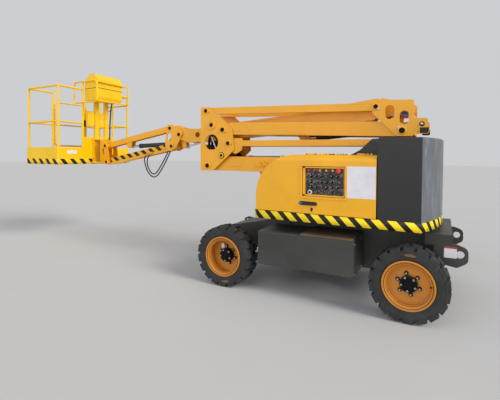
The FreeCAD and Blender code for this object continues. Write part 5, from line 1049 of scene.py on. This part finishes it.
# %% Fixed hoses
WINDOW_HOSES = [(0.150, 0.030), (0.100, 0.000), (0.045, -0.024), (-0.05, 0.020), (-0.11, -0.012)]
knuckle_hoses = []
for y, shift in WINDOW_HOSES:
    knuckle_hoses.append([(2.44 + shift, y, 1.60), (2.49 + shift, y, 1.68), (2.52 + shift, y, 1.78),
                          (2.58 + shift, y - 0.02, 1.835), (2.66 + shift, y - 0.03, 1.80),
                          (2.69 + shift / 2, y - 0.03, 1.70), (2.68 + shift / 2, y - 0.03, 1.62)])
pipes("knuckle_hoses", knuckle_hoses, 0.036, black_rubber_and_shade, "front_knuckle")
timing_rod = [rod(at(2.52, 0.205, 1.615), at(2.60, 0.205, 1.80), 0.011)]
piece("timing_rod", timing_rod, zinc_plated_steel, "front_knuckle")
pipes("riser_hoses", [[(0.95, y, 1.52), (1.4, y, 1.522), (1.9, y, 1.522), (2.4, y, 1.520)]
                      for y in (-0.06, -0.02, 0.02)], 0.022, black_rubber_and_shade, "lower_arm")
clips = [block((x, x + 0.03), (-0.085, 0.045), (1.5145, 1.540), 0.006) for x in (1.15, 1.6, 2.1)]
piece("riser_hose_clips", clips, zinc_plated_steel, "lower_arm", bevel=0.001)

# %% [markdown]
# ## The jib
# The jib's lower arm has hazard stripes on the upper part of its sides. The tape follows
# the arm's slope, so it is laid on an upright plane and its stripes lean with it. The jib's
# knuckle has fittings where the hanging hoses end.

# %% Stripes on the jib's arm
ARM_START, ARM_END, ARM_HALF, TAPE_LOW = (3.40, 1.672), (4.81, 1.41), 0.0535, -0.018
ARM_STRIPES = striped("jib_hazard_tape", 0.158, -0.9, 0.5, "#F4AC0C", "#0B0C0E")


def slope_point(start, end, t, w):
    """Point (x, z) at a distance t along a line, and w square to it."""
    run = math.dist(start, end)
    c, s = (end[0] - start[0]) / run, (end[1] - start[1]) / run
    return (start[0] + t * c - w * s, start[1] + t * s + w * c)


for side_name, y in (("left", 0.0673), ("right", -0.0673)):
    work = bmesh.new()
    metres = work.loops.layers.uv.new("metres")
    spots = [(0.12, TAPE_LOW), (1.38, TAPE_LOW), (1.38, ARM_HALF), (0.12, ARM_HALF)]
    corners = []
    for t, w in spots:
        x, z = slope_point(ARM_START, ARM_END, t, w)
        corners.append(work.verts.new(at(x, y, z)))
    face = work.faces.new(corners if y < 0 else corners[::-1])
    order = spots if y < 0 else spots[::-1]
    for loop, spot in zip(face.loops, order):
        loop[metres].uv = (spot[0], spot[1])
    mesh = bpy.data.meshes.new("jib_tape_" + side_name)
    work.to_mesh(mesh)
    work.free()
    mesh.materials.append(ARM_STRIPES)
    made = bpy.data.objects.new("jib_tape_" + side_name, mesh)
    bpy.context.scene.collection.objects.link(made)
    film = made.modifiers.new("film", "SOLIDIFY")
    film.thickness = TAPE_T
    film.offset = 1.0
    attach(made, "jib_arm")

# %% Hose fittings of the jib
fittings = []
for route in (OUTER_ROUTE, INNER_ROUTE):
    for (x0, z0), (x1, z1) in ((route[0], route[1]), (route[-1], route[-2])):
        start = at(x0, HOSE_Y, z0)
        way = (at(x1, HOSE_Y, z1) - start).normalized()
        fittings.append(turned([(-0.001, 0.0112), (0.026, 0.0112), (0.030, 0.0100), (0.034, 0.0100)],
                               start, way, 20))
piece("hose_fittings", fittings, zinc_plated_steel, "jib_arm", bevel=0.0005)
print("jib dressed")

# %% [markdown]
# ## The platform
# The floor is aluminium tread plate inside the kick boards. The masts carry a junction box and
# cross-plates, and black cables run up to the console. The console has a joystick, switches
# and a red button under its lid, and the gate has a latch.

# %% Tread plate floor
FLOOR_Z = 1.384
studs = []
step = 0.05
for i in range(15):
    for j in range(28):
        x = CAGE_X[0] + 0.07 + i * step
        y = -0.68 + j * step
        lean = 1 if (i + j) % 2 else -1
        a, b = 0.015, 0.004
        outline = [(x - lean * a - b, y - a), (x - lean * a + b, y - a - b),
                   (x + lean * a + b, y + a), (x + lean * a - b, y + a + b)]
        points = [at(px, py, FLOOR_Z + 0.002) for px, py in outline]
        middle = at(x, y, FLOOR_Z + 0.005)
        points.append(middle)
        studs.append((points, [[0, 1, 4], [1, 2, 4], [2, 3, 4], [3, 0, 4]]))
deck = plate([(CAGE_X[0] + 0.012, -0.738, 0.05), (CAGE_X[1] - 0.012, -0.738, 0.05),
              (CAGE_X[1] - 0.012, 0.738, 0.05), (CAGE_X[0] + 0.012, 0.738, 0.05)],
             FLOOR_Z, FLOOR_Z + 0.002, "xy")
piece("tread_plate", [deck] + studs, tread_plate_metal, "platform")

# %% Masts, junction box and cables
mast_plates = [block((5.142, 5.152), (-0.150, 0.020), (z, z + 0.115), 0.004) for z in (2.02, 2.15)]
mast_plates += [block((5.105, 5.168), (0.105, 0.235), (2.02, 2.28), 0.01)]
piece("mast_plates", mast_plates, sunlit_yellow_enamel, "platform", bevel=0.003)
box_screws = []
for y in (0.118, 0.222):
    for z in (2.035, 2.265):
        box_screws += bolt(at(5.105, y, z), (-1, 0, 0), 0.006)
piece("junction_box_screws", box_screws, zinc_plated_steel, "platform")
pipes("console_cables", [[(5.14, -0.232 - step, 1.45), (5.14, -0.240 - step, 1.7),
                          (5.14, -0.248 - step, 2.1), (5.12, -0.252 - step, 2.38),
                          (5.06, -0.225 - step, 2.458)] for step in (0.0, 0.014)], 0.012,
      black_rubber_and_shade, "platform")
piece("cable_clips", [block((5.132, 5.168), (-0.272, -0.215), (z, z + 0.015), 0.004)
                      for z in (1.66, 2.06, 2.32)], zinc_plated_steel, "platform", bevel=0.001)
sign = plate([(0.41, 1.545, 0.004), (0.59, 1.545, 0.004), (0.59, 1.60, 0.004), (0.41, 1.60, 0.004)],
             CAGE_X[0] - 0.0015, CAGE_X[0] - 0.0002, "yz")
piece("sign_plate", [sign], white_film, "platform")

# %% Console controls
BOX_X, BOX_Y, BOX_Z = (4.870, 5.170), (-0.285, 0.246), (2.455, 2.660)
DECK_Z = BOX_Z[1] - 0.045
piece("console_top", [block((BOX_X[0] + 0.015, BOX_X[1] - 0.015), (BOX_Y[0] + 0.007, BOX_Y[1] - 0.007),
                            (DECK_Z - 0.008, DECK_Z), 0.002)], panel_abs, "platform", bevel=0.001)
stick = [turned([(0, 0.030), (0.006, 0.030), (0.022, 0.014), (0.026, 0.008), (0.075, 0.007),
                 (0.078, 0.016), (0.100, 0.018), (0.115, 0.012)], at(5.02, y, DECK_Z), (0, 0, 1), 28)
         for y in (-0.19, 0.14)]
piece("joysticks", stick, black_rubber_and_shade, "platform", bevel=0.001)
piece("console_buttons", [turned([(0, 0.009), (0.008, 0.009), (0.010, 0.006)],
                                 at(x, -0.09 + 0.045 * k, DECK_Z), (0, 0, 1), 18)
                          for k in range(4) for x in (4.95, 5.08)], amber_lens, "platform")
piece("console_stop", [turned([(0, 0.012), (0.014, 0.012), (0.016, 0.024), (0.024, 0.024),
                               (0.030, 0.014)], at(4.93, 0.20, DECK_Z), (0, 0, 1), 28)],
      red_lens, "platform", bevel=0.001)
# a black strip along the lid's edge is painted shade of the gap between lid and box
lid_gap_shade = [block((BOX_X[0] - 0.0015, BOX_X[0] + 0.004), BOX_Y, (BOX_Z[1] - 0.008, BOX_Z[1])),
        block((BOX_X[0], BOX_X[1] - 0.004), (BOX_Y[1] - 0.004, BOX_Y[1] + 0.0015),
              (BOX_Z[1] - 0.008, BOX_Z[1]))]
piece("console_lid_gap_shade", lid_gap_shade, black_rubber_and_shade, "platform")

# %% Gate latch and foot switch
latch = [block((5.955, 5.995), (-0.385, -0.345), (2.08, 2.20), 0.006)]
piece("gate_latch", latch, black_oxide_steel, "platform_gate", bevel=0.002)
pedal = [block((5.30, 5.50), (-0.42, -0.28), (FLOOR_Z + 0.006, FLOOR_Z + 0.045), 0.01),
         plate([(5.30, FLOOR_Z + 0.045), (5.50, FLOOR_Z + 0.06), (5.49, FLOOR_Z + 0.115, 0.02),
                (5.36, FLOOR_Z + 0.135, 0.03)], -0.41, -0.29)]
piece("foot_switch", pedal, panel_abs, "platform", bevel=0.003)
print("platform dressed")

# %% [markdown]
# ## Chassis and turntable details
# Under the turntable there are a ring of bearing bolts, the side boxes with their worn top
# sheets, tie-down lugs, and a blank label at the rear. Bolts are placed by loops, because they
# repeat, and every one sits on the face that carries it.

# %% Bolts and plates of the chassis
ring_bolts = []
for k in range(30):
    angle = 2 * math.pi * k / 30
    ring_bolts += bolt(at(1.0 + 0.365 * math.cos(angle), 0.365 * math.sin(angle), 0.8295),
                       (0, 0, 1), 0.009)
piece("bearing_bolts", ring_bolts, zinc_plated_steel, "chassis")
box_end = [turned([(0, 0.010), (0.005, 0.010), (0.007, 0.008)], at(0.4995, y, z), (-1, 0, 0), 20)
           for y in (0.46, 0.80) for z in (0.36, 0.66)]
piece("side_box_screws", both_sides(box_end), zinc_plated_steel, "chassis")
tops = [plate([(0.335, 0.7142), (0.816, 0.7142), (0.829, 0.7005), (0.8315, 0.7015), (0.8175, 0.7162),
               (0.335, 0.7162)], 0.503, 1.062, "yz")]
piece("side_box_sheets", both_sides(tops), sand_steel, "chassis", bevel=0.0005)
LABEL_X, LABEL_Z, LUG_FACE_Y = (-0.398, -0.290), (0.576, 0.684), 0.515
label = block(LABEL_X, (LUG_FACE_Y, LUG_FACE_Y + 0.0012), LABEL_Z, 0.003)
strip = block(LABEL_X, (LUG_FACE_Y + 0.001, LUG_FACE_Y + 0.0018), (LABEL_Z[1] - 0.018, LABEL_Z[1]), 0.003)
piece("lug_label", both_sides([label]), white_film, "chassis")
piece("lug_label_strip", both_sides([strip]), red_film, "chassis")
print("chassis details made")

# %% [markdown]
# ## Floor and light
# The machine stands on a plain pale floor under a hazy day. A wide, soft sun stands behind the
# machine, a wider fill lights its near side, and an even sky does the rest. They reach every part alike, so
# colours come out about as they were written. The sky that the camera sees has the floor's tone.

# %% Floor
floor_finish, tree, output = new_finish("pale_concrete")
place = add(tree, "ShaderNodeTexCoord").outputs["Object"]
speck = add(tree, "ShaderNodeTexNoise", {"Scale": 1.4, "Detail": 8.0, "Roughness": 0.6},
            {"Vector": place})
tone = add(tree, "ShaderNodeMix", {"data_type": "RGBA", 6: paint("#C6C7C9"), 7: paint("#CCCDCF")},
           {0: speck.outputs["Fac"]})
skin = add(tree, "ShaderNodeBsdfPrincipled", {"Roughness": 0.85}, {"Base Color": tone.outputs[2]})
tree.links.new(skin.outputs["BSDF"], output.inputs["Surface"])
floor_mesh = bpy.data.meshes.new("floor")
FLOOR_HALF = 60.0
floor_mesh.from_pydata([(-FLOOR_HALF, -FLOOR_HALF, 0), (FLOOR_HALF, -FLOOR_HALF, 0),
                        (FLOOR_HALF, FLOOR_HALF, 0), (-FLOOR_HALF, FLOOR_HALF, 0)], [], [[0, 1, 2, 3]])
floor_mesh.materials.append(floor_finish)
floor = bpy.data.objects.new("floor", floor_mesh)
bpy.context.scene.collection.objects.link(floor)


# %% Sun and sky
def soft_sun(name, towards, strength, spread, colour):
    """Distant lamp of a given strength; towards is the way from the machine to the lamp."""
    data = bpy.data.lights.new(name, "SUN")
    data.energy = strength
    data.angle = math.radians(spread)
    data.color = paint(colour)[:3]
    lamp = bpy.data.objects.new(name, data)
    lamp.rotation_euler = Vector(towards).to_track_quat("Z", "Y").to_euler()
    bpy.context.scene.collection.objects.link(lamp)
    return lamp


soft_sun("hazy_sun", (-0.80, 0.12, 0.50), 2.4, 24.0, "#FFF8EC")
soft_sun("near_side_fill", (0.20, 0.93, 0.28), 1.25, 70.0, "#FBFBFF")
world = bpy.data.worlds.new("even_sky")
bpy.context.scene.world = world
world.use_nodes = True
tree = world.node_tree
tree.nodes.clear()
light_path = add(tree, "ShaderNodeLightPath")
sky = add(tree, "ShaderNodeBackground", {"Color": paint("#EEF1F6"), "Strength": 0.5})
seen = add(tree, "ShaderNodeBackground", {"Color": paint("#CDCED1"), "Strength": 1.0})
which = add(tree, "ShaderNodeMixShader", links={0: light_path.outputs["Is Camera Ray"],
                                                1: sky.outputs["Background"],
                                                2: seen.outputs["Background"]})
output = add(tree, "ShaderNodeOutputWorld", links={"Surface": which.outputs["Shader"]})
bpy.context.scene.view_settings.view_transform = "Standard"
print("floor and light set")
